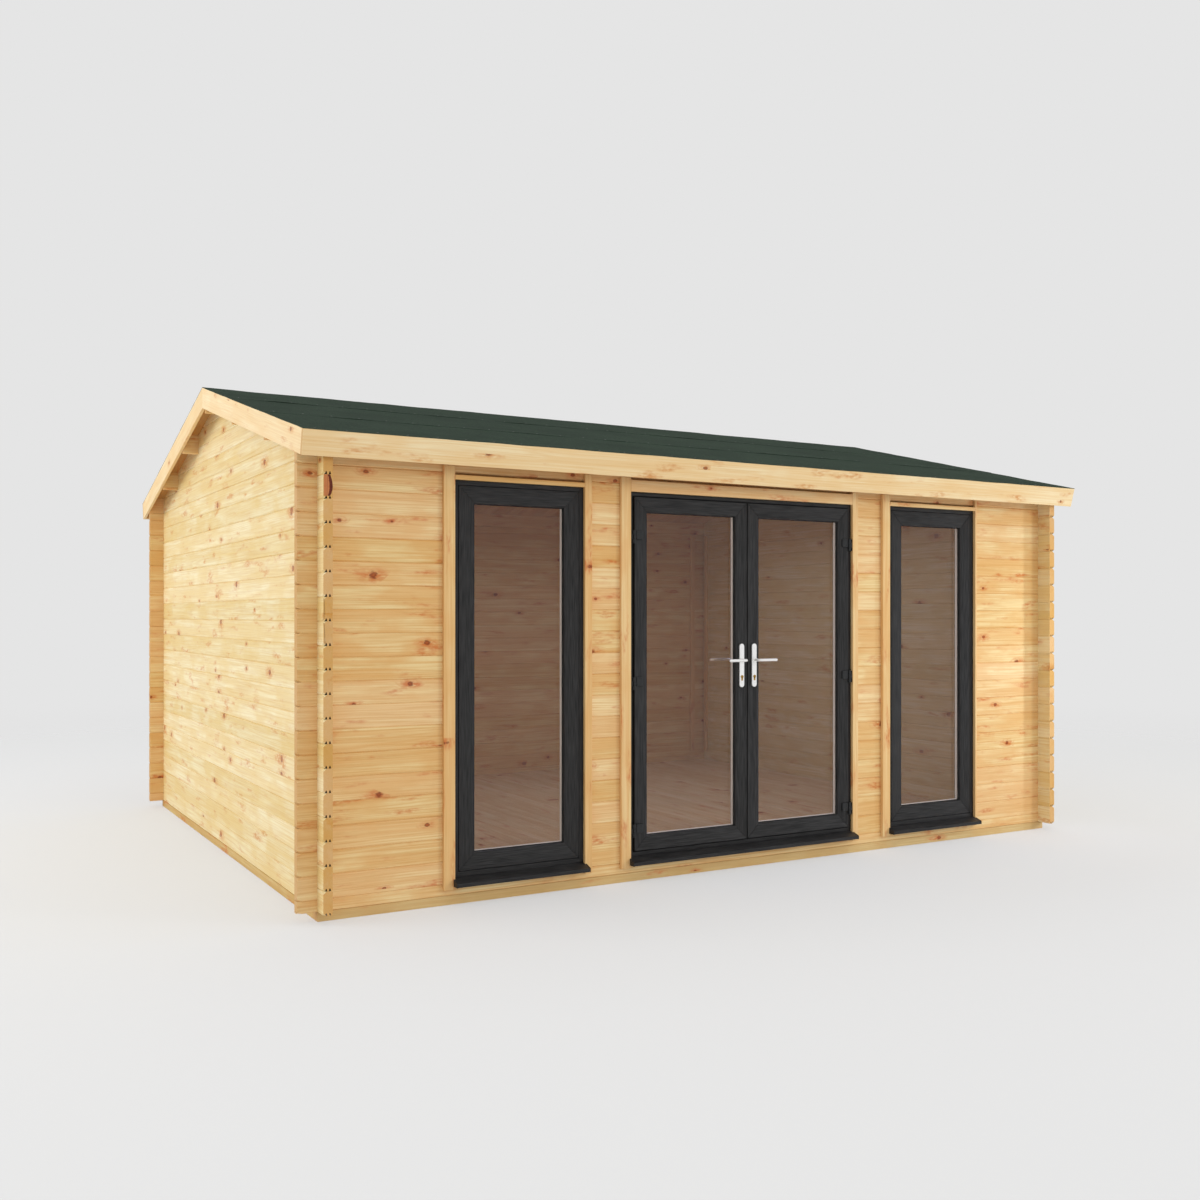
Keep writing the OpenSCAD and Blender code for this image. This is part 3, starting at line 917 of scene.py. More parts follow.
@dataclass
class LogYard:
    """Makes logs: one pattern for each kind, and a copy for each place in a wall."""

    sizes: LogSizes = field(default_factory=LogSizes)
    rng: random.Random = field(default_factory=lambda: random.Random(44))

    def pattern(
        self,
        length: float,
        height: float,
        crossings: Sequence[float] = (),
        top: bool = True,
        foot: bool = True,
    ) -> bpy.types.Object:
        """Models a log along X from the origin, with notches where it crosses others.

        Args:
            length: Its length.
            height: Its height.
            crossings: Where each crossing starts, from its left end.
            top: Whether it is notched at the top.
            foot: Whether it is notched at the foot.

        Returns:
            The log.
        """
        s = self.sizes
        log = sheet((0, s.thickness / 2, height / 2), (height, s.thickness), (0, math.radians(90), 0))
        edit(log)
        bpy.ops.mesh.bevel(offset=s.bevel, segments=1, affect="VERTICES")
        pick(log, Pick.EDGES, lambda p, d: abs(p.z) < 1e-5 and abs(d.y) > 0.9)
        # The tongues of the log below leave two gaps along the foot, which show at the ends
        parts = 10
        bpy.ops.mesh.subdivide(number_cuts=parts - 1)
        step = (s.thickness - 2 * s.bevel) / parts
        for middle in (2.5, 7.5):
            peak = s.bevel + middle * step
            pick(log, Pick.VERTS, lambda p, n: abs(p.z) < 1e-5 and abs(p.y - peak) < step)
            bpy.ops.transform.translate(value=(0, 0, s.tongue_gap_h))
        bpy.ops.mesh.select_all(action="SELECT")
        bpy.ops.mesh.extrude_region_move(TRANSFORM_OT_translate={"value": (length, 0, 0)})
        done(outwards=True)
        notch = s.height / 4
        over = 2 * MM
        levels = [(-over, notch)] * foot + [(height - notch, height + over)] * top
        cutters = [
            block((start, -over, low), (start + s.thickness, s.thickness + over, high))
            for start in crossings
            for low, high in levels
        ]
        if cutters:
            cut_away(log, cutters)
        in_from_end, in_from_face, in_from_joint = s.end_cut
        for start in crossings:
            x, out = (0.0, -1) if start < length / 2 else (length, 1)
            for z, way in ((0.0, -1), (height, 1)):
                normal = Vector((out / in_from_end, -1 / in_from_face, way / in_from_joint))
                saw(log, (x, in_from_face, z), normal.normalized())
        self.mark_painted_gap_shade(log)
        return log

    def mark_painted_gap_shade(self, log: bpy.types.Object) -> None:
        """Marks the faces inside the two gaps along a log's foot, which the finish paints dark as painted
        shade.

        Args:
            log: The log, along X with its foot at the origin.
        """
        s = self.sizes
        marks = []
        for face in log.data.polygons:
            inside = s.bevel < face.center.y < s.thickness - s.bevel and abs(face.normal.x) < 0.1
            marks.append(float(inside and 1e-4 < face.center.z < s.tongue_gap_h + 1e-4))
        mark(log, "painted_gap_shade", marks)

    def lay(
        self,
        pattern: bpy.types.Object,
        x: float,
        y: float,
        z: float,
        grain: Grain = Grain.ALONG_X,
        cut: Callable[[bpy.types.Object], None] | None = None,
        turned: bool = False,
    ) -> bpy.types.Object:
        """Lays a copy of a log in its place, cut from its own piece of timber.

        Args:
            pattern: The log to copy, along X.
            x: Left end, or outer face of a log along Y.
            y: Outer face, or front end of a log along Y.
            z: Foot.
            grain: Way the log runs.
            cut: Cuts the log where it lies, before its grain is laid on.
            turned: Whether it is turned round, for the back and the left wall: the sawn corners
                of a log's ends are on the outer side of its wall.

        Returns:
            The log in its place.
        """
        place = Matrix.Translation((x, y, z))
        if grain is Grain.ALONG_Y:
            place @= Matrix.Translation((self.sizes.thickness, 0, 0)) @ Matrix.Rotation(math.pi / 2, 4, "Z")
        if turned:
            length = max(vertex.co.x for vertex in pattern.data.vertices)
            place @= Matrix.Translation((length, self.sizes.thickness, 0)) @ Matrix.Rotation(math.pi, 4, "Z")
        log = copy_of(pattern, place)
        if grain is Grain.ALONG_X:
            # The sawn corners of these logs open their gaps to the light, so their gaps get no painted shade
            log.data.attributes.remove(log.data.attributes["painted_gap_shade"])
        if cut:
            cut(log)
        lay_grain(log, grain, self.rng)
        return log


@dataclass
class Braces:
    """Upright battens inside, two at each corner, that hold the stacked logs in line."""

    width: float = 42 * MM
    thickness: float = 25 * MM
    foot: float = 148 * MM
    head: float = 2160 * MM
    in_on_front: float = 165 * MM
    in_on_side: float = 24 * MM
    rng: random.Random = field(default_factory=lambda: random.Random(3))

    def build(self) -> None:
        """Builds one batten on each wall at each corner, a little off the walls' meeting."""
        x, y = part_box("right_wall")[0].x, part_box("back_wall")[0].y
        spots = (
            (x - self.in_on_front, y - self.thickness, x - self.in_on_front + self.width, y),
            (x - self.thickness, y - self.in_on_side - self.width, x, y - self.in_on_side),
        )
        parts = []
        for sx in (-1, 1):
            for sy in (-1, 1):
                for x1, y1, x2, y2 in spots:
                    lo, hi = (sx * x1, sy * y1, self.foot), (sx * x2, sy * y2, self.head)
                    parts.append(plank(lo, hi, Grain.ALONG_Z, self.rng, 3 * MM))
        fit(parts, TRIM_PINE, "corner_battens", CABIN)


@dataclass
class Base:
    """Bearers, joists and the floor boards."""

    board_w: float = 87 * MM
    joist_count: int = 7
    rng: random.Random = field(default_factory=lambda: random.Random(7))

    def build(self) -> None:
        """Builds the base."""
        for node in ("front_bearer", "back_bearer", "left_bearer", "right_bearer"):
            lo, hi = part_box(node)
            grain = Grain.ALONG_X if node[0] in "fb" else Grain.ALONG_Y
            fit([plank(lo, hi, grain, self.rng, 3 * MM)], BEARER_PINE, f"{node}_timber", CABIN, node)
        self.joists()
        self.floor()

    def joists(self) -> None:
        """Lays the joists between the bearers."""
        lo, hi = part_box("floor_joists")
        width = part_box("front_bearer")[1].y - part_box("front_bearer")[0].y
        step = (hi.y - lo.y - width) / (self.joist_count - 1)
        parts = []
        for i in range(self.joist_count):
            y = lo.y + i * step
            parts.append(plank((lo.x, y, lo.z), (hi.x, y + width, hi.z), Grain.ALONG_X, self.rng, 3 * MM))
        fit(parts, BEARER_PINE, "floor_joist_timbers", CABIN, "floor_joists")

    def floor(self) -> None:
        """Lays the floor boards from front to back, with a V between one and the next."""
        lo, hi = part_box("floor")
        count = round((hi.x - lo.x) / self.board_w)
        width = (hi.x - lo.x) / count
        pattern = block((0, lo.y, lo.z), (width, hi.y, hi.z))
        chamfer(pattern, 2.5 * MM, lambda p, d: p.z > hi.z - 1e-4 and abs(d.y) > 0.9)
        parts = []
        for i in range(count):
            board = copy_of(pattern, Matrix.Translation((lo.x + i * width, 0, 0)))
            lay_grain(board, Grain.ALONG_Y, self.rng)
            parts.append(board)
        drop(pattern)
        fit(parts, FLOOR_PINE, "floor_boards", CABIN, "floor")


@dataclass
class Walls:
    """Front, back and side walls, laid log by log."""

    yard: LogYard = field(default_factory=LogYard)
    cracks: dict[int, tuple[float, float]] = field(
        default_factory=lambda: {11: (8 * MM, 2 * MM), 12: (2 * MM, 3.5 * MM)}
    )
    bark_row: int = 17
    head_cut: float = 32 * MM

    def build(self) -> None:
        """Builds the four walls."""
        self.side("left_wall")
        self.side("right_wall")
        self.back()
        self.front()

    def side(self, node: str) -> None:
        """Lays one side wall of whole logs.

        Args:
            node: The wall's node.
        """
        s = self.yard.sizes
        lo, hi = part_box(node)
        length = hi.y - lo.y
        pattern = self.yard.pattern(length, s.height, (s.end, length - s.end - s.thickness))
        rows = round((hi.z - lo.z) / s.height)
        cracks = self.cracks if node == "left_wall" else {}
        logs = []
        for i in range(rows):
            foot = lo.z + i * s.height
            cut = partial(self.crack, at=(lo.x, lo.y, foot), across=cracks[i]) if i in cracks else None
            logs.append(self.yard.lay(pattern, lo.x, lo.y, foot, Grain.ALONG_Y, cut, bool(cracks)))
        drop(pattern)
        if cracks:
            self.bark(lo.x, lo.y, lo.z + self.bark_row * s.height)
        fit(logs, PAINTED_LIGHT_SIDE_PINE, f"{node}_logs", CABIN, node)

    def crack(self, log: bpy.types.Object, at: Sequence[float], across: tuple[float, float]) -> None:
        """Opens a drying crack in the end of a log, cut out as a bent wedge.

        Args:
            log: The log, in its place.
            at: Lowest corner of its front end.
            across: How far from the left face the crack is at the foot and at the top.
        """
        x, y, foot = at
        low, high = across
        width, deep, over, bend = 2.4 * MM, 9 * MM, 2 * MM, 60 * MM
        wedge = block(
            (x + low - width / 2, y - 5 * MM, foot - over),
            (x + low + width / 2, y + deep, foot + self.yard.sizes.height + over),
        )
        edit(wedge)
        pick(wedge, Pick.VERTS, lambda p, n: p.z > foot + bend)
        bpy.ops.transform.translate(value=(high - low, 0, 0))
        bpy.ops.mesh.select_all(action="SELECT")
        bpy.ops.mesh.bisect(plane_co=(x, y, foot + bend), plane_no=(0, 0, 1))
        pick(wedge, Pick.VERTS, lambda p, n: abs(p.z - foot - bend) < 1e-4)
        bpy.ops.transform.translate(value=(1.6 * MM, 0, 0))
        done()
        cut_away(log, [wedge])

    def bark(self, x: float, y: float, foot: float) -> None:
        """Lays the crescent of bark that one log's end has kept.

        Args:
            x: Left face of the log.
            y: The log's end.
            foot: The log's foot.
        """
        middle = foot + self.yard.sizes.height / 2
        inner_edge = (x + 2 * MM, y, middle)
        for name, inner_x, outer_x, finish in (
            ("bark", 29 * MM, 43 * MM, BARK),
            ("bast", 3 * MM, 29 * MM, BAST),
        ):
            band = block(
                (x + inner_x, y - 0.9 * MM, middle - 1 * MM), (x + outer_x, y + 0.3 * MM, middle + 1 * MM)
            )
            edit(band)
            # Down to the gaps in the log's foot, and up to those of the log above
            for way, rise in ((-1, 8.3 * MM), (1, 10.6 * MM)):
                pick(band, Pick.FACES, lambda p, n: n.z * way > 0.9)
                for narrower in (0.985, 0.965, 0.94, 0.915, 0.88):
                    bpy.ops.mesh.extrude_region_move(TRANSFORM_OT_translate={"value": (0, 0, rise * way)})
                    bpy.ops.transform.resize(value=(narrower, 1, 1), center_override=inner_edge)
            bpy.ops.mesh.select_all(action="SELECT")
            bpy.ops.mesh.subdivide(number_cuts=2)
            bpy.ops.transform.vertex_random(offset=1.2 * MM, seed=5)
            done(outwards=True)
            lay_grain(band, Grain.ALONG_Z, self.yard.rng)
            fit([band], finish, f"left_wall_{name}", CABIN)

    def back(self) -> None:
        """Lays the back wall: a half log, whole logs and another half log."""
        s = self.yard.sizes
        lo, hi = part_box("back_wall")
        length = hi.x - lo.x
        ends = (s.end, length - s.end - s.thickness)
        half = s.height / 2
        foot = self.yard.pattern(length, half, ends, foot=False)
        whole = self.yard.pattern(length, s.height, ends)
        head = self.yard.pattern(length, half, ends, top=False)
        rows = round((hi.z - lo.z) / s.height) - 1
        logs = [self.yard.lay(foot, lo.x, lo.y, lo.z, turned=True)]
        for i in range(rows):
            logs.append(self.yard.lay(whole, lo.x, lo.y, lo.z + half + i * s.height, turned=True))
        logs.append(self.yard.lay(head, lo.x, lo.y, hi.z - half, turned=True))
        drop(foot, whole, head)
        fit(logs, PLANED_PINE, "back_wall_logs", CABIN, "back_wall")

    def front(self) -> None:
        """Lays the front wall in five parts round the windows and the door, and its two half logs."""
        s = self.yard.sizes
        half = s.height / 2
        for node in ("front_wall_left", "front_pier_left", "front_pier_right", "front_wall_right"):
            lo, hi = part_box(node)
            length = hi.x - lo.x
            ends: tuple[float, ...] = ()
            if node == "front_wall_left":
                ends = (s.end,)
            elif node == "front_wall_right":
                ends = (length - s.end - s.thickness,)
            pattern = self.yard.pattern(length, s.height, ends)
            rows = round((hi.z - lo.z) / s.height)
            logs = [self.yard.lay(pattern, lo.x, lo.y, lo.z + i * s.height) for i in range(rows)]
            drop(pattern)
            fit(logs, PLANED_PINE, f"{node}_logs", CABIN, node)
        for node in ("front_bottom_log", "front_wall_head"):
            lo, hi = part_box(node)
            length = hi.x - lo.x
            ends = (s.end, length - s.end - s.thickness)
            at_head = node == "front_wall_head"
            pattern = self.yard.pattern(length, half, ends, top=not at_head, foot=at_head)
            if at_head:
                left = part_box("front_pier_left")[1].x - lo.x
                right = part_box("front_pier_right")[0].x - lo.x
                over = 10 * MM
                cut_away(pattern, [block((left, -over, -over), (right, s.thickness + over, self.head_cut))])
            log = self.yard.lay(pattern, lo.x, lo.y, lo.z)
            drop(pattern)
            fit([log], PLANED_PINE, f"{node}_timber", CABIN, node)


# ---- Roof --------------------------------------------------------------------------------


@dataclass
class Roof:
    """Gables, purlins, boards, felt and edge boards of the double-pitched roof."""

    yard: LogYard = field(default_factory=LogYard)
    pitch: float = math.radians(14)
    board_t: float = 19 * MM
    felt_t: float = 4 * MM
    edge_h: float = 120 * MM
    board_w: float = 111 * MM
    purlin_step: float = 690 * MM
    purlin_h: float = 122 * MM
    strips: tuple[float, float, float] = (0.0, 0.80, 1.56)
    lap: float = 75 * MM
    lap_lift: float = 1.8 * MM
    lap_fade: float = 120 * MM
    spare: float = 100 * MM
    rng: random.Random = field(default_factory=lambda: random.Random(14))

    def __post_init__(self) -> None:
        """Reads the roof's lines from the frame."""
        lo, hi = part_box("front_fascia")
        self.left, self.right = lo.x, hi.x
        self.eave_y = lo.y
        self.eave_z = hi.z - self.board_t * math.sin(self.pitch)
        self.slope = Matrix.Translation((0, self.eave_y, self.eave_z)) @ Matrix.Rotation(self.pitch, 4, "X")
        self.run = -self.eave_y / math.cos(self.pitch)
        self.cover = self.board_t + self.felt_t
        self.turns = {"front": Matrix.Identity(4), "back": Matrix.Rotation(math.pi, 4, "Z")}

    def surface(self, y: float, depth: float = 0.0) -> float:
        """Height of the front slope over a distance from front to back.

        Args:
            y: The distance, below 0 in the front half.
            depth: How far under the roof's top surface, square to it.

        Returns:
            The height.
        """
        return self.eave_z + (y - self.eave_y) * math.tan(self.pitch) - depth / math.cos(self.pitch)

    def build(self) -> None:
        """Builds the roof."""
        self.purlins()
        self.gables()
        self.boards()
        self.felt()
        self.edges()

    def beam(self, y: float, foot: float, left: float, right: float) -> bpy.types.Object:
        """Models one log under the roof, bevelled at the foot and sawn to the slopes on top.

        Args:
            y: Its outer face in the front half.
            foot: Height of its foot.
            left: Its left end.
            right: Its right end.

        Returns:
            The beam.
        """
        s = self.yard.sizes
        beam = block((left, y, foot), (right, y + s.thickness, self.surface(0) + self.spare))
        chamfer(beam, s.bevel, lambda p, d: abs(p.z - foot) < 1e-5 and abs(d.x) > 0.9)
        rise = math.tan(self.pitch)
        saw(beam, (0, y, self.surface(y, self.cover)), (0, -rise, 1))
        if y + s.thickness > 1e-6:
            saw(beam, (0, 0, self.surface(0, self.cover)), (0, rise, 1))
        ease(beam, 1 * MM, 1)
        return beam

    def purlins(self) -> None:
        """Lays the eave logs, the ridge and the two purlins of each slope."""
        thickness = self.yard.sizes.thickness
        for node in ("ridge_purlin", "front_eave_log", "front_purlins"):
            lo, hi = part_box(node)
            rows = [(lo.y, lo.z)]
            if node == "front_purlins":
                rows = []
                for i in (2, 1):
                    y = -i * self.purlin_step - thickness / 2
                    rows.append((y, self.surface(y + thickness, self.cover) - self.purlin_h))
            parts, twins = [self.beam(y, foot, lo.x, hi.x) for y, foot in rows], []
            for part in parts:
                lay_grain(part, Grain.ALONG_X, self.rng)
                if node != "ridge_purlin":
                    twin = copy_of(part, Matrix.Identity(4))
                    lay_grain(twin, Grain.ALONG_X, self.rng)
                    twin.data.transform(self.turns["back"])
                    twins.append(twin)
            fit(parts, PLANED_PINE, f"{node}_timber", CABIN, node)
            if twins:
                other = node.replace("front", "back")
                fit(twins, PLANED_PINE, f"{other}_timber", CABIN, other)

    def gables(self) -> None:
        """Lays the logs of each gable, sawn to the slopes and cut out round the purlins."""
        s = self.yard.sizes
        for node in ("left_gable", "right_gable"):
            lo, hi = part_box(node)
            pattern = self.yard.pattern(hi.y - lo.y, s.height)
            rows = math.ceil((hi.z - lo.z) / s.height - 1e-6)
            logs = []
            for i in range(rows):
                foot = lo.z + i * s.height
                reach = min(hi.y, (self.surface(0, self.cover) - foot) / math.tan(self.pitch))
                if reach >= 60 * MM:
                    cut = partial(self.shape_gable, left=lo.x, right=hi.x)
                    logs.append(self.yard.lay(pattern, lo.x, lo.y, foot, Grain.ALONG_Y, cut))
            drop(pattern)
            fit(logs, PAINTED_LIGHT_SIDE_PINE, f"{node}_logs", CABIN, node)

    def shape_gable(self, log: bpy.types.Object, left: float, right: float) -> None:
        """Cuts the purlins' places out of a gable log, and saws it to both slopes.

        Args:
            log: The log, in its place.
            left: Left face of the gable.
            right: Its right face.
        """
        thickness, over = self.yard.sizes.thickness, 10 * MM
        cutters = []
        for i in range(-2, 3):
            y = i * self.purlin_step - thickness / 2
            near = -abs(i) * self.purlin_step + thickness / 2
            foot = self.surface(near if i else -thickness / 2, self.cover) - self.purlin_h
            head = foot + self.purlin_h + 60 * MM
            cutters.append(block((left - over, y, foot), (right + over, y + thickness, head)))
        cut_away(log, cutters)
        for side in (-1, 1):
            normal = (0, side * math.sin(self.pitch), math.cos(self.pitch))
            saw(log, (0, 0, self.surface(0, self.cover)), normal)

    def boards(self) -> None:
        """Lays the roof boards from eave to ridge, with a V between them underneath."""
        lo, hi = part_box("front_roof_boards")
        count = round((hi.x - lo.x) / self.board_w)
        width = (hi.x - lo.x) / count
        foot = -self.felt_t - self.board_t
        pattern = block((0, self.board_t, foot), (width, self.run + self.spare, -self.felt_t))
        chamfer(pattern, 4 * MM, lambda p, d: abs(p.z - foot) < 1e-5 and abs(d.y) > 0.9)
        saw(pattern, (0, self.run, 0), (0, math.cos(self.pitch), -math.sin(self.pitch)))
        for side, turn in self.turns.items():
            node = f"{side}_roof_boards"
            parts = []
            for i in range(count):
                board = copy_of(pattern, Matrix.Identity(4))
                lay_grain(board, Grain.ALONG_Y, self.rng)
                board.data.transform(turn @ self.slope @ Matrix.Translation((lo.x + i * width, 0, 0)))
                parts.append(board)
            fit(parts, ROOF_PINE, f"{node}_laid", CABIN, node)
        drop(pattern)

    def felt_strip(self, start: float, end: float, lift: float, seed: int) -> bpy.types.Object:
        """Models one strip of felt in the plane of the slope, slightly uneven as it lies.

        Args:
            start: Lower edge, up the slope from the eaves.
            end: Upper edge.
            lift: How far its foot is raised by the strip that it laps over.
            seed: Draws its unevenness.

        Returns:
            The strip.
        """
        width = self.right - self.left
        strip = sheet((0, (start + end) / 2, 0), (width, end - start), cells=(90, 16))
        low, high = -1.0 * MM, 2.0 * MM
        flat = [vertex.co.copy() for vertex in strip.data.vertices]
        edit(strip)
        bpy.ops.transform.vertex_random(offset=3.5 * MM, uniform=0.0, normal=1.0, seed=seed)
        bpy.ops.mesh.vertices_smooth(factor=0.5, repeat=3)
        done()
        for vertex, at in zip(strip.data.vertices, flat):
            rise = lift * max(0.0, 1 - (at.y - start) / self.lap_fade)
            vertex.co = (at.x, at.y, min(high, max(low, vertex.co.z)) + rise)
        take(strip)
        thick = strip.modifiers.new("thickness", "SOLIDIFY")
        thick.thickness = 2.4 * MM
        thick.offset = -1
        bpy.ops.object.modifier_apply(modifier=thick.name)
        return strip

    def felt(self) -> None:
        """Lays three strips of felt on each slope, lapped downhill, and nails their edges."""
        starts = [self.strips[0], *(start - self.lap for start in self.strips[1:])]
        ends = [*self.strips[1:], self.run]
        head = rod(5 * MM, (0, 0, 0), (0, 0, 1.2 * MM), 8)
        edit(head)
        pick(head, Pick.FACES, lambda p, n: n.z > 0.9)
        bpy.ops.mesh.inset(thickness=2 * MM, depth=0.5 * MM)
        done()
        nail_count, from_end, from_edge = 35, 60 * MM, 22 * MM
        apart = (self.right - self.left - 2 * from_end) / (nail_count - 1)
        for side, turn in self.turns.items():
            node = f"{side}_felt"
            strips, nails = [], []
            for i, (start, end) in enumerate(zip(starts, ends)):
                strip = self.felt_strip(start, end, self.lap_lift if i else 0.0, 31 + i + len(node))
                strip.data.transform(turn @ self.slope @ Matrix.Translation((0, 0, 1 * MM)))
                strips.append(strip)
            fit(strips, MINERAL_FELT, f"{node}_strips", CABIN, node)
            for i, start in enumerate(starts):
                for k in range(nail_count):
                    at = (self.left + from_end + k * apart, start + from_edge, 4.5 * MM if i else 2 * MM)
                    nails.append(copy_of(head, turn @ self.slope @ Matrix.Translation(at)))
            fit(nails, GALVANISED, f"{node}_nails", CABIN)
        drop(head)

    def edges(self) -> None:
        """Makes the boards along the eaves and up the gables."""
        for side, turn in self.turns.items():
            ends = (self.left, 0, -self.edge_h), (self.right, self.board_t, 0)
            board = plank(*ends, Grain.ALONG_X, self.rng, 2 * MM)
            board.data.transform(turn @ self.slope)
            fit([board], EDGE_PINE, f"{side}_fascia_board", CABIN, f"{side}_fascia")
        for node in ("left_barge_boards", "right_barge_boards"):
            lo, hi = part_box(node)
            parts = []
            for side, turn in self.turns.items():
                out = 1 if side == "front" else -1
                ends = (out * lo.x, self.board_t, -self.edge_h), (out * hi.x, self.run + self.spare, 0)
                board = block(*ends)
                saw(board, (0, self.run, 0), (0, math.cos(self.pitch), -math.sin(self.pitch)))
                ease(board, 2 * MM)
                lay_grain(board, Grain.ALONG_Y, self.rng)
                board.data.transform(turn @ self.slope)
                parts.append(board)
            fit(parts, EDGE_PINE, f"{node}_pair", CABIN, node)


# ---- Frames, windows and doors -----------------------------------------------------------


def picture_frame(
    lo: Sequence[float],
    hi: Sequence[float],
    front: Sequence[tuple[float, float]],
    back: Sequence[tuple[float, float]],
) -> bpy.types.Object:
    """Models a mitred frame from a block: each face is inset in steps, and the middle opened.

    Args:
        lo: Lowest corner of the block.
        hi: Highest corner.
        front: Steps on the front, each the distance from the outer edge and from the front.
        back: The same on the back, measured from the back.

    Returns:
        The frame, with its upright members marked for the foil's grain.
    """
    low, high = Vector(lo), Vector(hi)
    frame_piece = block(low, high)
    edit(frame_piece)
    for steps, side in ((front, -1), (back, 1)):
        face_y = low.y if side < 0 else high.y
        pick(frame_piece, Pick.FACES, lambda p, n: n.y * side > 0.9)
        gone, sunk = 0.0, 0.0
        for reach, depth in steps:
            bpy.ops.mesh.inset(thickness=max(reach - gone, 1e-5), depth=0)
            if abs(depth - sunk) > 1e-7:
                bpy.ops.transform.translate(value=(0, -side * (depth - sunk), 0))
            gone, sunk = reach, depth
    centre = (low + high) / 2
    pick(
        frame_piece,
        Pick.FACES,
        lambda p, n: abs(n.y) > 0.9 and abs(p.x - centre.x) < 1e-4 and abs(p.z - centre.z) < 1e-4,
    )
    bpy.ops.mesh.bridge_edge_loops()
    done(outwards=True)
    mark_upright(frame_piece, low, high)
    return frame_piece


def score_mitres(obj: bpy.types.Object, lo: Sequence[float], hi: Sequence[float], face: float) -> None:
    """Scores the joint line across each corner of a frame's front.

    Args:
        obj: The frame.
        lo: Its lowest corner.
        hi: Its highest corner.
        face: How far in from the outer corner the flat of the front goes.
    """
    low, high = Vector(lo), Vector(hi)
    half_width, deep = 1.3 * MM, 1.6 * MM
    line = block((0, -1 * MM, -half_width), (face * math.sqrt(2), deep, half_width))
    cutters = []
    for x, z, turn in (
        (low.x, low.z, 45),
        (high.x, low.z, 135),
        (high.x, high.z, 225),
        (low.x, high.z, 315),
    ):
        place = Matrix.Translation((x, low.y, z)) @ Matrix.Rotation(math.radians(-turn), 4, "Y")
        cutters.append(copy_of(line, place))
    drop(line)
    cut_away(obj, cutters)


def mark_upright(obj: bpy.types.Object, low: Vector, high: Vector) -> None:
    """Marks the faces of a frame's upright members, whose foil grain runs up.

    Args:
        obj: The frame.
        low: Its lowest corner.
        high: Its highest corner.
    """
    marks = []
    for face in obj.data.polygons:
        side = min(face.center.x - low.x, high.x - face.center.x)
        end = min(face.center.z - low.z, high.z - face.center.z)
        marks.append(float(side < end))
    mark(obj, "upright", marks)


def bead(width: float, rebate: float) -> list[tuple[float, float]]:
    """Steps of a member's front: its flat, the bead that slopes to the glass, and the rebate.

    Args:
        width: Width of the member.
        rebate: How deep it goes in at the glass.

    Returns:
        The steps, as picture_frame takes them.
    """
    return [(width - 12 * MM, 0), (width - 11 * MM, 0.8 * MM), (width - 3 * MM, 2 * MM), (width, rebate)]


@dataclass
class Glazing:
    """A double glazing unit: its glass, the bar between the sheets and the rubber seals."""

    node: str
    body: str
    pane: float = 4 * MM
    bite: float = 12 * MM
    seal_lip: float = 3 * MM
    spacer_in: float = 4.2 * MM
    spacer_raised: float = 4 * MM

    def build(self) -> None:
        """Dresses the glass, and adds what holds it."""
        dress(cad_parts[self.node], CLEAR_GLASS)
        self.spacer()
        self.seals()

    def spacer(self) -> None:
        """Builds the bar that holds the two sheets apart, a thin ring that just shows."""
        lo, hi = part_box(self.node)
        out, inner = self.spacer_in, self.pane + 0.2 * MM
        width = self.bite - out + self.spacer_raised
        ring = picture_frame(
            (lo.x + out, lo.y + inner, lo.z + out),
            (hi.x - out, hi.y - inner, hi.z - out + self.spacer_raised),
            [(width, 0)],
            [(width, 0)],
        )
        fit([ring], SPACER_ALLOY, f"{self.node}_spacer", self.body)

    def seals(self) -> None:
        """Builds the seal on each face of the glass, which shows more on the outer one."""
        lo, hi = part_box(self.node)
        in_by = self.bite - self.seal_lip
        near, far = 0.1 * MM, 1.5 * MM
        seals = [
            picture_frame(
                (lo.x + in_by, y1, lo.z + in_by),
                (hi.x - in_by, y2, hi.z - in_by),
                [(self.seal_lip + shown, 0)],
                [(self.seal_lip + shown, 0)],
            )
            for y1, y2, shown in (
                (lo.y - far, lo.y - near, 2.5 * MM),
                (hi.y + near, hi.y + far, 0.6 * MM),
            )
        ]
        fit(seals, RUBBER, f"{self.node}_seals", self.body)


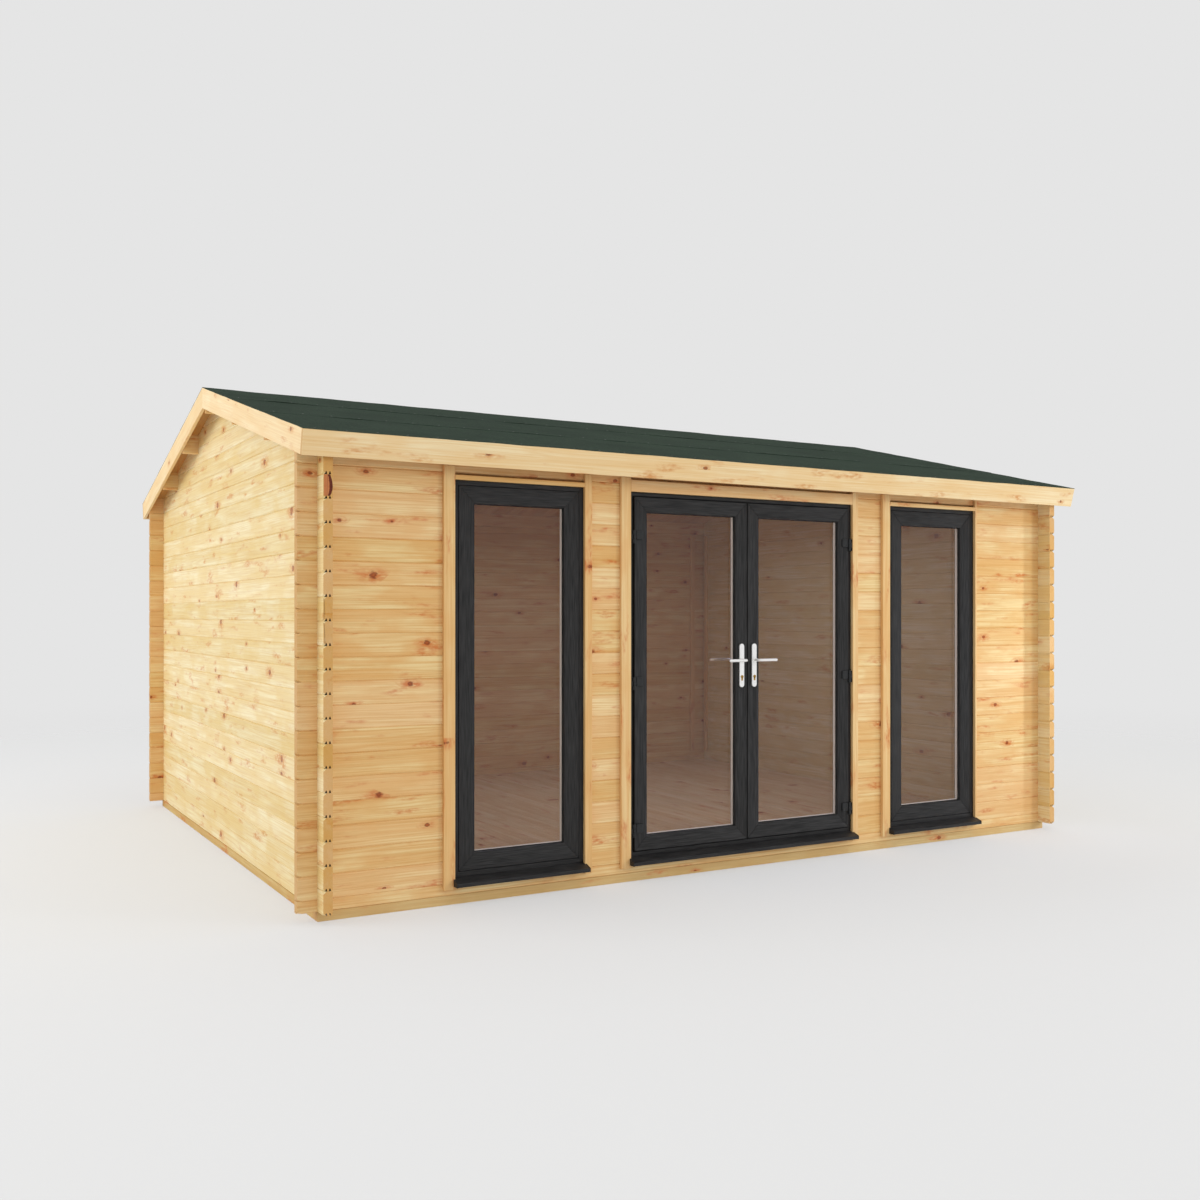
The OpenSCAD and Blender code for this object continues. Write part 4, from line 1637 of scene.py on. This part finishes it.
@dataclass
class Sill:
    """A foiled sill: a flat top that falls to a nose with a drip edge, and two end caps."""

    node: str
    horn: float = 9 * MM
    cap_t: float = 3 * MM
    fall: float = 22 * MM
    nose_h: float = 19 * MM
    nose_w: float = 7 * MM
    trim_t: float = 20 * MM

    def build(self) -> None:
        """Builds the sill from the outline of its CAD piece."""
        lo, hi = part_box(self.node)
        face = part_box("front_pier_left")[0].y
        trim_face = face - self.trim_t
        nose_z = hi.z - self.fall
        nose_foot = nose_z - self.nose_h
        top_edge = face - 2 * MM
        slope = self.fall / (top_edge - lo.y)
        body = block((lo.x + self.cap_t, lo.y, lo.z), (hi.x - self.cap_t, hi.y, hi.z))
        edit(body)
        for y in (lo.y + self.nose_w, top_edge):
            bpy.ops.mesh.bisect(plane_co=(0, y, 0), plane_no=(0, 1, 0))
            bpy.ops.mesh.select_all(action="SELECT")
        self.lower(body, lambda p: p.y < lo.y + 1e-5 and p.z > hi.z - 1e-5, self.fall)
        at_nose = lo.y + self.nose_w
        self.lower(
            body, lambda p: abs(p.y - at_nose) < 1e-5 and p.z > hi.z - 1e-5, self.fall - slope * self.nose_w
        )
        self.lower(body, lambda p: p.y < at_nose + 1 * MM and p.z < lo.z + 1e-5, lo.z - nose_foot)
        done()
        ease(body, 1.5 * MM, 3)
        over, past, proud = 1 * MM, 10 * MM, 1.5 * MM
        for x in (lo.x, hi.x - self.horn):
            ends = (x - over, trim_face, lo.z - past), (x + self.horn + over, hi.y + past, hi.z + past)
            cut_away(body, [block(*ends)])
        parts = [body]
        for x in (lo.x, hi.x - self.cap_t):
            cap = block((x, lo.y - 1 * MM, nose_foot - 1 * MM), (x + self.cap_t, trim_face, hi.z))
            edit(cap)
            sunk = slope * (top_edge - trim_face)
            self.lower(cap, lambda p: p.y < lo.y + 1e-3 and p.z > hi.z - 1e-5, self.fall - proud)
            self.lower(cap, lambda p: p.y > trim_face - 1e-3 and p.z > hi.z - 1e-5, sunk - proud)
            done()
            ease(cap, 0.8 * MM, 2)
            parts.append(cap)
        fit(parts, FOILED_UPVC, f"{self.node}_foiled", CABIN, self.node)

    def lower(self, obj: bpy.types.Object, wanted: Callable[[Vector], bool], by: float) -> None:
        """Moves chosen points of a piece down, in edit mode.

        Args:
            obj: The piece.
            wanted: Says from a point's place whether it moves.
            by: How far down.
        """
        pick(obj, Pick.VERTS, lambda p, n: wanted(p))
        bpy.ops.transform.translate(value=(0, 0, -by))


@dataclass
class Trims:
    """Planed boards beside a frame, and the strip over it."""

    node: str
    frame_node: str
    rng: random.Random
    strip_h: float

    def build(self) -> None:
        """Builds the two uprights and the strip."""
        lo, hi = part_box(self.node)
        f_lo, f_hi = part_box(self.frame_node)
        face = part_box("front_pier_left")[0].y
        parts = [
            plank(a, b, grain, self.rng, 2 * MM)
            for a, b, grain in (
                (lo, (f_lo.x, face, hi.z), Grain.ALONG_Z),
                ((f_hi.x, lo.y, lo.z), (hi.x, face, hi.z), Grain.ALONG_Z),
                ((f_lo.x, lo.y, f_hi.z), (f_hi.x, hi.y, f_hi.z + self.strip_h), Grain.ALONG_X),
            )
        ]
        fit(parts, TRIM_PINE, f"{self.node}_boards", CABIN, self.node)


@dataclass
class Window:
    """A tall foiled window: outer frame, sash, glazing unit, sill and trims."""

    side: str
    rng: random.Random
    frame_face: float = 49 * MM
    sash_face: float = 65 * MM
    lip: float = 22 * MM
    lip_thickness: float = 14 * MM
    strip_h: float = 23 * MM

    def build(self) -> None:
        """Builds the window."""
        self.outer()
        self.sash()
        Glazing(f"{self.side}_window_glass", CABIN).build()
        Sill(f"{self.side}_window_sill").build()
        Trims(f"{self.side}_window_trim", f"{self.side}_window_frame", self.rng, self.strip_h).build()

    def outer(self) -> None:
        """Builds the outer frame, rebated for the lip of the sash."""
        node = f"{self.side}_window_frame"
        lo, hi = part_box(node)
        w = self.frame_face
        flat, rebate = w - self.lip - 4 * MM, self.lip_thickness + 2 * MM
        ring = picture_frame(
            lo,
            hi,
            [(flat, 0), (flat + 1 * MM, 1.5 * MM), (flat + 2 * MM, rebate), (w, rebate)],
            [(w - 8 * MM, 0), (w, 4 * MM)],
        )
        score_mitres(ring, lo, hi, flat)
        ease(ring, 1.2 * MM)
        fit([ring], FOILED_UPVC, f"{node}_foiled", CABIN, node)

    def sash(self) -> None:
        """Builds the sash: its lip laps over the frame, and a bead holds the glass."""
        node = f"{self.side}_window_sash"
        lo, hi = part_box(node)
        w = self.sash_face
        gap = 1.2 * MM
        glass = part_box(f"{self.side}_window_glass")
        ring = picture_frame(
            (lo.x + gap, lo.y, lo.z + gap),
            (hi.x - gap, hi.y, hi.z - gap),
            bead(w - gap, glass[0].y - lo.y - SEAL),
            [(w - gap - 25 * MM, 0), (w - gap, hi.y - glass[1].y - SEAL)],
        )
        edit(ring)
        lip_back = lo.y + self.lip_thickness
        bpy.ops.mesh.bisect(plane_co=(0, lip_back, 0), plane_no=(0, 1, 0))
        centre = (lo + hi) / 2
        edge = (hi - lo) / 2 - Vector((gap, 0, gap))
        pick(
            ring,
            Pick.FACES,
            lambda p, n: p.y < lip_back
            and abs(n.y) < 0.1
            and (abs(abs(p.x - centre.x) - edge.x) < 1e-4 or abs(abs(p.z - centre.z) - edge.z) < 1e-4),
        )
        reach = {"value": self.lip + gap, "use_even_offset": True}
        bpy.ops.mesh.extrude_region_shrink_fatten(TRANSFORM_OT_shrink_fatten=reach)
        done()
        lap = Vector((self.lip, 0, self.lip))
        mark_upright(ring, lo - lap, hi + lap)
        score_mitres(ring, lo - lap, hi + lap, w + self.lip - 6 * MM)
        ease(ring, 0.8 * MM)
        fit([ring], FOILED_UPVC, f"{node}_foiled", CABIN, node)


@dataclass(frozen=True)
class FlagHinge:
    """Sizes of a leaf's hinges: three knuckles on a pin, the middle one on the leaf."""

    height: float = 68 * MM
    barrel_r: float = 7.5 * MM
    pin_r: float = 3.5 * MM
    cap_r: float = 5.2 * MM
    beside: float = 5 * MM
    proud: float = 7 * MM
    levels: tuple[float, float, float] = (109 * MM, 893 * MM, -213 * MM)

    def heights(self) -> list[float]:
        """Heights of the middles of a leaf's three hinges, from its foot or its head."""
        lo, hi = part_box("left_leaf")
        return [(lo.z if level > 0 else hi.z) + level for level in self.levels]

    def knuckle(self, x: float, y: float, low: float, high: float) -> bpy.types.Object:
        """Turns one knuckle, its ends eased.

        Args:
            x: Place of the pin from left to right.
            y: Its place from front to back.
            low: Foot of the knuckle.
            high: Its top.

        Returns:
            The knuckle.
        """
        barrel = rod(self.barrel_r, (x, y, low), (x, y, high), 20)
        ease(barrel, 1.2 * MM, 2)
        return barrel


@dataclass
class Doorway:
    """The door's frame, sill and trims, and the fixed half of its hinges."""

    rng: random.Random
    face: float = 28 * MM
    strip_h: float = 61 * MM
    hinge: FlagHinge = FlagHinge()

    def build(self) -> None:
        """Builds the doorway."""
        self.outer()
        Sill("door_sill").build()
        Trims("door_trim", "door_frame", self.rng, self.strip_h).build()
        self.hinges()

    def outer(self) -> None:
        """Builds the frame: a band at the front and a deeper lip that the leaves close against."""
        lo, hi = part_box("door_frame")
        band = self.face - 6 * MM
        lip = band + 22 * MM
        ring = picture_frame(
            lo,
            hi,
            [(band - 3 * MM, 0), (band, 2 * MM), (band, 16 * MM), (lip, 16 * MM)],
            [(lip - 6 * MM, 0), (lip, 4 * MM)],
        )
        ease(ring, 0.8 * MM)
        fit([ring], FOILED_UPVC, "door_frame_foiled", CABIN, "door_frame")

    def hinges(self) -> None:
        """Builds the brackets, the outer knuckles and the pins."""
        h = self.hinge
        half, third = h.height / 2, h.height / 3
        lo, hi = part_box("door_frame")
        left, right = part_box("left_leaf")[0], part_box("right_leaf")[1]
        y = left.y - h.proud
        parts = []
        for x, edge, side in ((left.x - h.beside, lo.x, 1), (right.x + h.beside, hi.x, -1)):
            near, far = edge + side * 3 * MM, edge + side * 12 * MM
            for z in h.heights():
                parts.append(rod(h.pin_r, (x, y, z - half), (x, y, z + half), 16))
                for way in (-1, 1):
                    low, high = z + way * third - third / 2, z + way * third + third / 2
                    web = block((near, y, low), (x, left.y, high))
                    ease(web, 1 * MM, 2)
                    end = z + way * half
                    cap = rod(h.cap_r, (x, y, end), (x, y, end + way * 2 * MM), 16)
                    parts += [h.knuckle(x, y, low, high), web, cap]
                foot = block((near, y, z - half), (far, lo.y, z + half))
                ease(foot, 1.5 * MM, 2)
                parts.append(foot)
        fit(parts, PAINTED_METAL, "frame_hinges_painted", CABIN, "frame_hinges")


@dataclass
class Leaf:
    """A door leaf with its glazing, its half of the hinges and its handles."""

    side: str
    face: float = 80 * MM
    flange_t: float = 20 * MM
    body_in: float = 28 * MM
    hinge: FlagHinge = FlagHinge()
    flag_t: float = 8 * MM
    plate_w: float = 32 * MM
    plate_t: float = 10 * MM
    screw_from_middle: float = 98 * MM
    lock_below: float = 93 * MM
    lever_z: float = 1166 * MM
    lever_r: float = 8 * MM
    lever_bend: float = 15 * MM

    def __post_init__(self) -> None:
        """Reads the leaf's place from the frame; hand is 1 where the hinges are on the left."""
        self.body = f"{self.side}_leaf"
        self.hand = 1 if self.side == "left" else -1
        self.lo, self.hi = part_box(self.body)
        self.outer, self.meeting = (self.lo.x, self.hi.x)[:: self.hand]
        self.handle_x = self.meeting - self.hand * self.face / 2

    def build(self) -> None:
        """Builds the leaf."""
        self.ring()
        Glazing(f"{self.side}_leaf_glass", self.body).build()
        self.hinges()
        self.plates()
        self.lever()

    def ring(self) -> None:
        """Builds the mitred leaf: a flange that laps the frame and a body behind it."""
        lo, hi, w = self.lo, self.hi, self.face
        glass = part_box(f"{self.side}_leaf_glass")
        over = 10 * MM
        flange = picture_frame(
            lo,
            (hi.x, lo.y + self.flange_t, hi.z),
            [(3 * MM, 0), *bead(w, min(glass[0].y - lo.y - SEAL, 15 * MM))],
            [(w, 0)],
        )
        hub = block(
            (self.outer + self.hand * self.body_in, lo.y + self.flange_t - 0.5 * MM, lo.z + self.body_in),
            (self.meeting - self.hand * 3 * MM, hi.y, hi.z - self.body_in),
        )
        cut_away(hub, [block((lo.x + w, lo.y - over, lo.z + w), (hi.x - w, hi.y + over, hi.z - w))])
        chamfer(
            hub,
            hi.y - glass[1].y - SEAL - 1.5 * MM,
            lambda p, d: p.y > hi.y - 1e-5
            and lo.x + w - 1e-4 < p.x < hi.x - w + 1e-4
            and lo.z + w - 1e-4 < p.z < hi.z - w + 1e-4,
        )
        mark_upright(hub, lo, hi)
        leaf = join([flange, hub], self.body)
        x, z = self.handle_x, self.lever_z
        cut_away(leaf, [rod(10 * MM, (x, lo.y - over, z), (x, hi.y + over, z))])
        score_mitres(leaf, lo, hi, w - 6 * MM)
        ease(leaf, 0.8 * MM)
        fit([leaf], FOILED_UPVC, f"{self.body}_foiled", self.body, self.body)

    def hinges(self) -> None:
        """Builds the flag plates on the leaf with their middle knuckles and screw caps."""
        h, out, front = self.hinge, self.outer, self.lo.y
        half, sixth = h.height / 2, h.height / 6 - 1 * MM
        x, y = out - self.hand * h.beside, front - h.proud
        parts = []
        for z in h.heights():
            foot = z - half + 21 * MM
            plate = block(
                (out + self.hand * 6 * MM, front - self.flag_t, foot),
                (out + self.hand * 50 * MM, front, z + half),
            )
            chamfer(plate, 6 * MM, lambda p, d: abs(d.y) > 0.9, 4)
            ease(plate, 2 * MM, 2)
            web = block((x, y, z - sixth), (out + self.hand * 4 * MM, front - 1 * MM, z + sixth))
            parts += [plate, h.knuckle(x, y, z - sixth, z + sixth), web]
            for dx, dz in ((16, 24), (38, 24), (16, -3), (38, -3)):
                at = Vector((out + self.hand * dx * MM, front - self.flag_t, z + dz * MM))
                cap = rod(4 * MM, at, at - Vector((0, 0.9 * MM, 0)), 16)
                ease(cap, 0.4 * MM, 1)
                parts.append(cap)
        node = f"{self.side}_leaf_hinges"
        fit(parts, PAINTED_METAL, f"{node}_painted", self.body, node)

    def plates(self) -> None:
        """Builds the long round-ended plates with their keyhole cylinder and screws."""
        node = f"{self.side}_handle_plates"
        lo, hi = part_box(node)
        steel, brass = [], []
        x, middle, lock_z = self.handle_x, (lo.z + hi.z) / 2, self.lever_z - self.lock_below
        for face, out in ((self.lo.y, -1), (self.hi.y, 1)):
            plate = sheet((x, face, middle), (self.plate_w, hi.z - lo.z), (math.pi / 2, 0, 0))
            top = face + out * self.plate_t
            edit(plate)
            bpy.ops.mesh.bevel(offset=self.plate_w / 2 - 0.2 * MM, segments=10, affect="VERTICES")
            bpy.ops.mesh.select_all(action="SELECT")
            bpy.ops.mesh.extrude_region_move(TRANSFORM_OT_translate={"value": (0, out * self.plate_t, 0)})
            bpy.ops.mesh.select_all(action="SELECT")
            bpy.ops.mesh.normals_make_consistent(inside=False)
            pick(plate, Pick.FACES, lambda p, n: abs(p.y - top) < 1e-5)
            bpy.ops.mesh.inset(thickness=3 * MM, depth=0)
            done()
            ease(plate, 2.5 * MM, 3, 50)
            root, end = top - out * 1 * MM, top + out * 2.5 * MM
            rose = rod(12 * MM, (x, root, self.lever_z), (x, end, self.lever_z), 32)
            ease(rose, 1 * MM, 2)
            steel += [plate, rose]
            for z in (middle + self.screw_from_middle, middle - self.screw_from_middle):
                screw = rod(4.2 * MM, (x, root, z), (x, top + out * 1.2 * MM, z), 16)
                ease(screw, 0.6 * MM, 2)
                slot = block((x - 3 * MM, top, z - 0.5 * MM), (x + 3 * MM, top + out * 2 * MM, z + 0.5 * MM))
                cut_away(screw, [slot])
                steel.append(screw)
            barrel = rod(8.5 * MM, (x, root, lock_z), (x, end, lock_z), 24)
            tail = block((x - 5 * MM, root, lock_z - 22 * MM), (x + 5 * MM, end, lock_z - 2 * MM))
            ease(tail, 1.5 * MM, 2)
            key = (x - 1 * MM, top, lock_z - 5 * MM), (x + 1 * MM, top + out * 4 * MM, lock_z + 5 * MM)
            cut_away(barrel, [block(*key)])
            brass += [barrel, tail]
        fit(steel, POLISHED_STEEL, f"{node}_polished", self.body, node)
        fit(brass, BRASS, f"{self.side}_leaf_lock", self.body)

    def lever(self) -> None:
        """Builds the two levers: a neck from the plate, a bend and a bar with a round end."""
        node = f"{self.side}_lever"
        lo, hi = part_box(node)
        x, z, bend = self.handle_x, self.lever_z, self.lever_bend
        reach = hi.x - lo.x - 9 * MM
        bar_y, tip = 7 * MM, 6 * MM
        parts = [rod(4 * MM, (x, lo.y + 8 * MM, z), (x, hi.y - 8 * MM, z), 8)]
        for face, end, out in ((self.lo.y - self.plate_t, lo.y, -1), (self.hi.y + self.plate_t, hi.y, 1)):
            bend_y = end - out * (bar_y + bend)
            neck = rod(self.lever_r, (x, face - out * 2 * MM, z), (x, bend_y, z), 20)
            edit(neck)
            pick(neck, Pick.FACES, lambda p, n: n.y * out > 0.9)
            bpy.ops.mesh.spin(
                steps=8,
                angle=math.radians(-90) * self.hand * out,
                center=(x - self.hand * bend, bend_y, z),
                axis=(0, 0, 1),
            )
            for along, size in ((reach - bend - tip, (1, 0.8, 1.05)), (tip, (1, 0.7, 0.7))):
                bpy.ops.mesh.extrude_region_move(
                    TRANSFORM_OT_translate={"value": (-self.hand * along, 0, 0)}
                )
                bpy.ops.transform.resize(value=size)
            bpy.ops.mesh.select_all(action="SELECT")
            bpy.ops.mesh.remove_doubles(threshold=1e-6)
            done(outwards=True)
            ease(neck, 0.8 * MM, 2, 50)
            parts.append(neck)
        fit(parts, POLISHED_STEEL, f"{node}_polished", node, node)


# ---- Studio ------------------------------------------------------------------------------


@dataclass(frozen=True)
class Paper(Finish):
    """Matt studio paper that fades into the even light round it."""

    colour: str = "#ececec"
    bare: float = 0.5
    near: float = 3.0
    far: float = 15.0

    def shade(self, node: Callable[..., bpy.types.NodeSocket]) -> bpy.types.NodeSocket:
        """Builds the finish's nodes.

        Args:
            node: Adds a node to the finish's material.

        Returns:
            The shader's output.
        """
        place = node("ShaderNodeTexCoord", out="Object")
        away = node("ShaderNodeVectorMath", {0: place}, "Value", operation="LENGTH")
        fade = node(
            "ShaderNodeMapRange",
            {"Value": away, "From Min": self.near, "From Max": self.far, "To Min": self.bare},
            interpolation_type="SMOOTHERSTEP",
        )
        matt = node(
            "ShaderNodeBsdfPrincipled",
            {"Base Color": hex_colour(self.colour), "Roughness": 0.95, "Specular IOR Level": 0.05},
        )
        clear = node("ShaderNodeBsdfTransparent")
        return node("ShaderNodeMixShader", {0: fade, 1: matt, 2: clear})


@dataclass
class Lamp:
    """One soft area light."""

    name: str
    place: tuple[float, float, float]
    aim: tuple[float, float, float]
    size: tuple[float, float]
    power: float
    colour: str = "#ffffff"
    mirrored: bool = True
    spread: float = 180

    def hang(self) -> None:
        """Hangs the lamp in the studio."""
        data = bpy.data.lights.new(self.name, "AREA")
        data.shape = "RECTANGLE"
        data.size, data.size_y = self.size
        data.energy = self.power
        data.spread = math.radians(self.spread)
        data.color = hex_colour(self.colour)[:3]
        lamp = bpy.data.objects.new(self.name, data)
        lamp.location = self.place
        aim = Vector(self.aim) - Vector(self.place)
        lamp.rotation_euler = aim.to_track_quat("-Z", "Y").to_euler()
        lamp.visible_camera = False
        lamp.visible_glossy = self.mirrored
        bpy.context.scene.collection.objects.link(lamp)


@dataclass
class Studio:
    """Pale floor, soft light and the camera."""

    eye: tuple[float, float, float] = (-4.0882, -7.4028, 1.4184)
    yaw: float = 29.95
    lens: float = 35.97
    rise: float = 0.0126
    lamps: tuple[Lamp, ...] = (
        Lamp("left_softbox", (-11.0, 1.5, 4.5), (-2.5, 0.0, 1.0), (7.0, 5.0), 370, "#f8fcff"),
        Lamp("front_softbox", (7.5, -10.0, 4.0), (0.0, -2.0, 1.0), (2.5, 2.5), 260, mirrored=False),
        Lamp(
            "right_softbox", (4.4, -3.4, 1.25), (2.0, -1.95, 1.1), (0.2, 0.4), 7.5, "#cfe2ff", False,
            spread=64,
        ),
        Lamp("top_softbox", (0.0, -1.0, 11.0), (0.0, 0.0, 0.0), (12.0, 12.0), 150),
        Lamp("room_light", (0.2, -0.2, 2.1), (0.2, -0.2, 0.0), (3.4, 2.4), 23, "#c4d8ff"),
    )

    def build(self) -> None:
        """Sets up the studio."""
        self.floor()
        for lamp in self.lamps:
            lamp.hang()
        self.sky()
        self.camera()

    def floor(self) -> None:
        """Lays the pale floor."""
        floor = sheet((0, 0, 0), (90, 90))
        floor.name = "studio_floor"
        dress(floor, Paper("matt studio paper"))

    def sky(self) -> None:
        """Fills the room round the cabin with even pale light."""
        world = bpy.data.worlds.new("studio")
        world.use_nodes = True
        ground = world.node_tree.nodes["Background"]
        ground.inputs["Color"].default_value = hex_colour("#e5e5e5")
        ground.inputs["Strength"].default_value = 1.0
        bpy.context.scene.world = world
        bpy.context.scene.view_settings.view_transform = "Standard"

    def camera(self) -> None:
        """Sets the camera up level, at eye height."""
        data = bpy.data.cameras.new("eye")
        data.sensor_width = 36
        data.lens = self.lens
        data.shift_y = self.rise
        data.clip_end = 300
        camera = bpy.data.objects.new("eye", data)
        camera.location = self.eye
        camera.rotation_euler = (math.radians(90), 0, math.radians(-self.yaw))
        bpy.context.scene.collection.objects.link(camera)
        bpy.context.scene.camera = camera


def main() -> None:
    """Builds the cabin's looks in order, from the ground up, and then the studio."""
    logging.basicConfig(level=logging.INFO, format="%(message)s")
    yard = LogYard()
    rng = random.Random(19)
    Base().build()
    Walls(yard).build()
    Braces().build()
    Roof(yard).build()
    for side in ("left", "right"):
        Window(side, rng).build()
    Doorway(rng).build()
    for side in ("left", "right"):
        Leaf(side).build()
    Studio().build()


if __name__ == "__main__":
    main()
